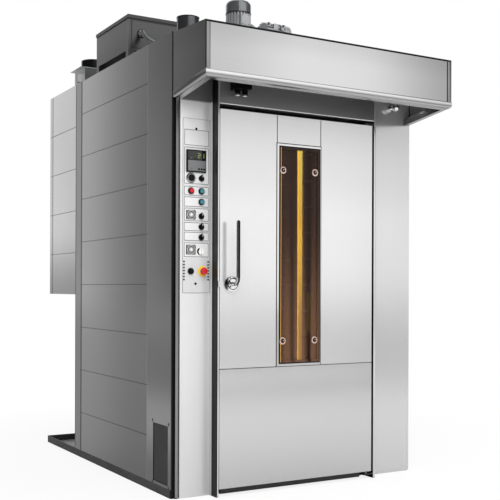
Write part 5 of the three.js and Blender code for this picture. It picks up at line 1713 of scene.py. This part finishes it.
@dataclass
class Chamber:
    """The baking chamber with its lamp, a painted reflection of the lamp, air panel and rack drive.
    """

    lamp_front: float = 670.0
    lamp_back: float = 712.0
    lamp_foot: float = 70.0
    lamp_joint: float = 1450.0
    lamp_top: float = 2080.0
    lamp_side: float = 1232.0
    wall: float = 1238.1
    painted_lamp_reflection: tuple = ((1233.0, 578, 812), (1238.1, 606, 1056))
    lean: float = -0.3  # degrees

    def build(self) -> None:
        """Builds the chamber's pieces."""
        steel = ("chamber_ceiling", "air_diffuser", "chamber_floor", "rack_hook", "fan_wheel")
        coat_nodes(Finish.INNER, *steel)
        coat_nodes(Finish.CAST_DARK, "steam_generator")
        side, front, back, wall = self.lamp_side, self.lamp_front, self.lamp_back, self.wall
        foot, joint, top = self.lamp_foot, self.lamp_joint, self.lamp_top
        upper = slab((side, front, joint), (wall, back, top), 1.5)
        settle("chamber_lamp", upper, Finish.LAMP)
        lower = slab((side, front, foot), (wall, back, joint - 0.2), 1.5)
        settle("chamber_lamp_foot", lower, Finish.LAMP_FOOT)
        tube = slab((side - 3, back - 4, foot), (side, back + 3, top), 1.0)
        lean = Matrix.Rotation(math.radians(self.lean), 4, "X")
        transform_about(tube, place(side - 2, back, top), lean)
        settle("chamber_lamp_edge", tube, Finish.LAMP_EDGE)
        # a glowing slab on the chamber wall: painted reflection of the chamber lamp
        settle("painted_lamp_reflection", slab(*self.painted_lamp_reflection, 1.5), Finish.LAMP_REFLECTION)


# ---------------------------------------------------------------- studio
@dataclass
class Studio:
    """The camera, the pale floor, the white surround and the soft lamps."""

    focal_pixels: float = 915.18
    yaw: float = 30.25
    roll: float = 0.20
    horizon_shift: float = 38.3
    eye: tuple = (-2015.5, -4247.0, 1083.2)
    surround: float = 0.75
    dark_tone: float = 0.05
    floor_glow: float = 0.85
    floor_reach: tuple = (1.2, 3.4)
    dark_stops: tuple = ((0.108, 0.15, 0.30, 0.34), (0.546, 0.579, 0.93, 0.96))
    aim: tuple = (0, 0, 1.2)
    lamps: tuple = (
        ("key", (-1.5, -4.5, 5.0), 4.0, 260.0),
        ("fill", (4.5, -3.5, 3.0), 3.0, 90.0),
    )

    def add_camera(self) -> None:
        """Puts the camera where the photograph was taken from."""
        data = bpy.data.cameras.new("camera")
        data.sensor_width = 36.0
        data.lens = self.focal_pixels / PHOTO_SIDE * data.sensor_width
        data.shift_y = self.horizon_shift / PHOTO_SIDE
        data.clip_end = 100.0
        camera = bpy.data.objects.new("camera", data)
        yaw, roll = math.radians(self.yaw), math.radians(self.roll)
        forward = Vector((math.sin(yaw), math.cos(yaw), 0.0))
        right = Vector((math.cos(yaw), -math.sin(yaw), 0.0))
        up = Vector((0.0, 0.0, 1.0))
        rolled_right = right * math.cos(roll) + up * math.sin(roll)
        rolled_up = up * math.cos(roll) - right * math.sin(roll)
        turn = Matrix((rolled_right, rolled_up, -forward)).transposed().to_4x4()
        camera.matrix_world = Matrix.Translation(place(*self.eye)) @ turn
        bpy.context.scene.collection.objects.link(camera)
        bpy.context.scene.camera = camera

    def floor_material(self) -> bpy.types.Material:
        """Makes the floor's material: matt, and glowing white away from the oven."""
        material, tree, shader, coordinates = new_material("pale_floor", Roughness=0.9)
        seen = add_node(tree, "ShaderNodeLightPath").outputs["Is Camera Ray"]
        tree.links.new(mixed(tree, seen, grey(0.8), grey(0.85)), shader["Base Color"])
        away = add_node(tree, "ShaderNodeVectorMath", {0: coordinates}, operation="LENGTH")
        reach = away.outputs["Value"]
        whiteness = ranged(tree, reach, self.floor_glow, 1.0, *self.floor_reach, smooth=True)
        inputs = {
            0: maths(tree, "MULTIPLY", seen, whiteness),
            1: tree.nodes["Principled BSDF"].outputs[0],
            2: add_node(tree, "ShaderNodeEmission", {"Color": grey(1.0)}).outputs[0],
        }
        surface = add_node(tree, "ShaderNodeMixShader", inputs).outputs[0]
        tree.links.new(surface, tree.nodes["Material Output"].inputs["Surface"])
        return material

    def add_floor(self) -> None:
        """Adds the pale floor, which looks white and keeps the oven's shadow."""
        bm = bmesh.new()
        bmesh.ops.create_grid(bm, x_segments=1, y_segments=1, size=40.0)
        bmesh.ops.translate(bm, vec=(0, 0, -0.001), verts=bm.verts)
        mesh = bpy.data.meshes.new("floor")
        bm.to_mesh(mesh)
        bm.free()
        mesh.materials.append(self.floor_material())
        floor = bpy.data.objects.new("floor", mesh)
        bpy.context.scene.collection.objects.link(floor)

    def mirrored_tones(self, tree: Tree) -> Socket:
        """Returns what glossy faces mirror: white with two dark ends of the studio.

        Args:
            tree: The world's node tree.

        Returns:
            The colour's socket.
        """
        direction = add_node(tree, "ShaderNodeTexCoord").outputs["Generated"]
        split = add_node(tree, "ShaderNodeSeparateXYZ", {0: direction}).outputs
        left = maths(tree, "MULTIPLY", split[0], -1.0)
        azimuth = maths(tree, "ARCTAN2", left, split[1])
        ramp = ranged(tree, azimuth, 0.0, 1.0, -math.pi, math.pi)
        tones = add_node(tree, "ShaderNodeValToRGB", {0: ramp})
        white, dark = grey(1.0), grey(self.dark_tone)
        elements = tones.color_ramp.elements
        elements[0].position, elements[0].color = 0.0, white
        elements[1].position, elements[1].color = self.dark_stops[-1][-1], white
        stops = [
            stop for band in self.dark_stops for stop in zip(band, (white, dark, dark, white))
        ]
        for position, colour in stops[:-1]:
            elements.new(position).color = colour
        return tones.outputs[0]

    def add_surround(self) -> None:
        """Makes the white surround, with the unlit ends of the studio in its mirror images."""
        world = bpy.data.worlds.new("surround")
        bpy.context.scene.world = world
        world.use_nodes = True
        tree = world.node_tree
        ray = add_node(tree, "ShaderNodeLightPath").outputs
        clear = maths(tree, "MAXIMUM", ray["Is Glossy Ray"], ray["Is Transmission Ray"])
        lighting = mixed(tree, clear, grey(self.surround), self.mirrored_tones(tree))
        colour = mixed(tree, ray["Is Camera Ray"], lighting, grey(1.0))
        tree.links.new(colour, tree.nodes["Background"].inputs["Color"])

    def add_lamps(self) -> None:
        """Adds one wide soft lamp over the front and a weaker one on the right."""
        for name, where, size, watts in self.lamps:
            data = bpy.data.lights.new(name, "AREA")
            data.shape = "DISK"
            data.size = size
            data.energy = watts
            lamp = bpy.data.objects.new(name, data)
            turn = (Vector(self.aim) - Vector(where)).to_track_quat("-Z", "Y")
            lamp.matrix_world = Matrix.Translation(where) @ turn.to_matrix().to_4x4()
            lamp.visible_glossy = False
            bpy.context.scene.collection.objects.link(lamp)

    def build(self) -> None:
        """Builds the studio."""
        bpy.context.scene.view_settings.view_transform = "Standard"
        self.add_camera()
        self.add_floor()
        self.add_surround()
        self.add_lamps()


def main() -> None:
    """Builds the studio and the oven."""
    logging.basicConfig(level=logging.INFO, format="%(name)s: %(message)s")
    Studio().build()
    for assembly in (
        Casing(),
        ControlPanel(),
        Portal(),
        Door(),
        Hood(),
        RearUnit(),
        RoofEquipment(),
        Chamber(),
    ):
        assembly.build()


if __name__ == "__main__":
    main()
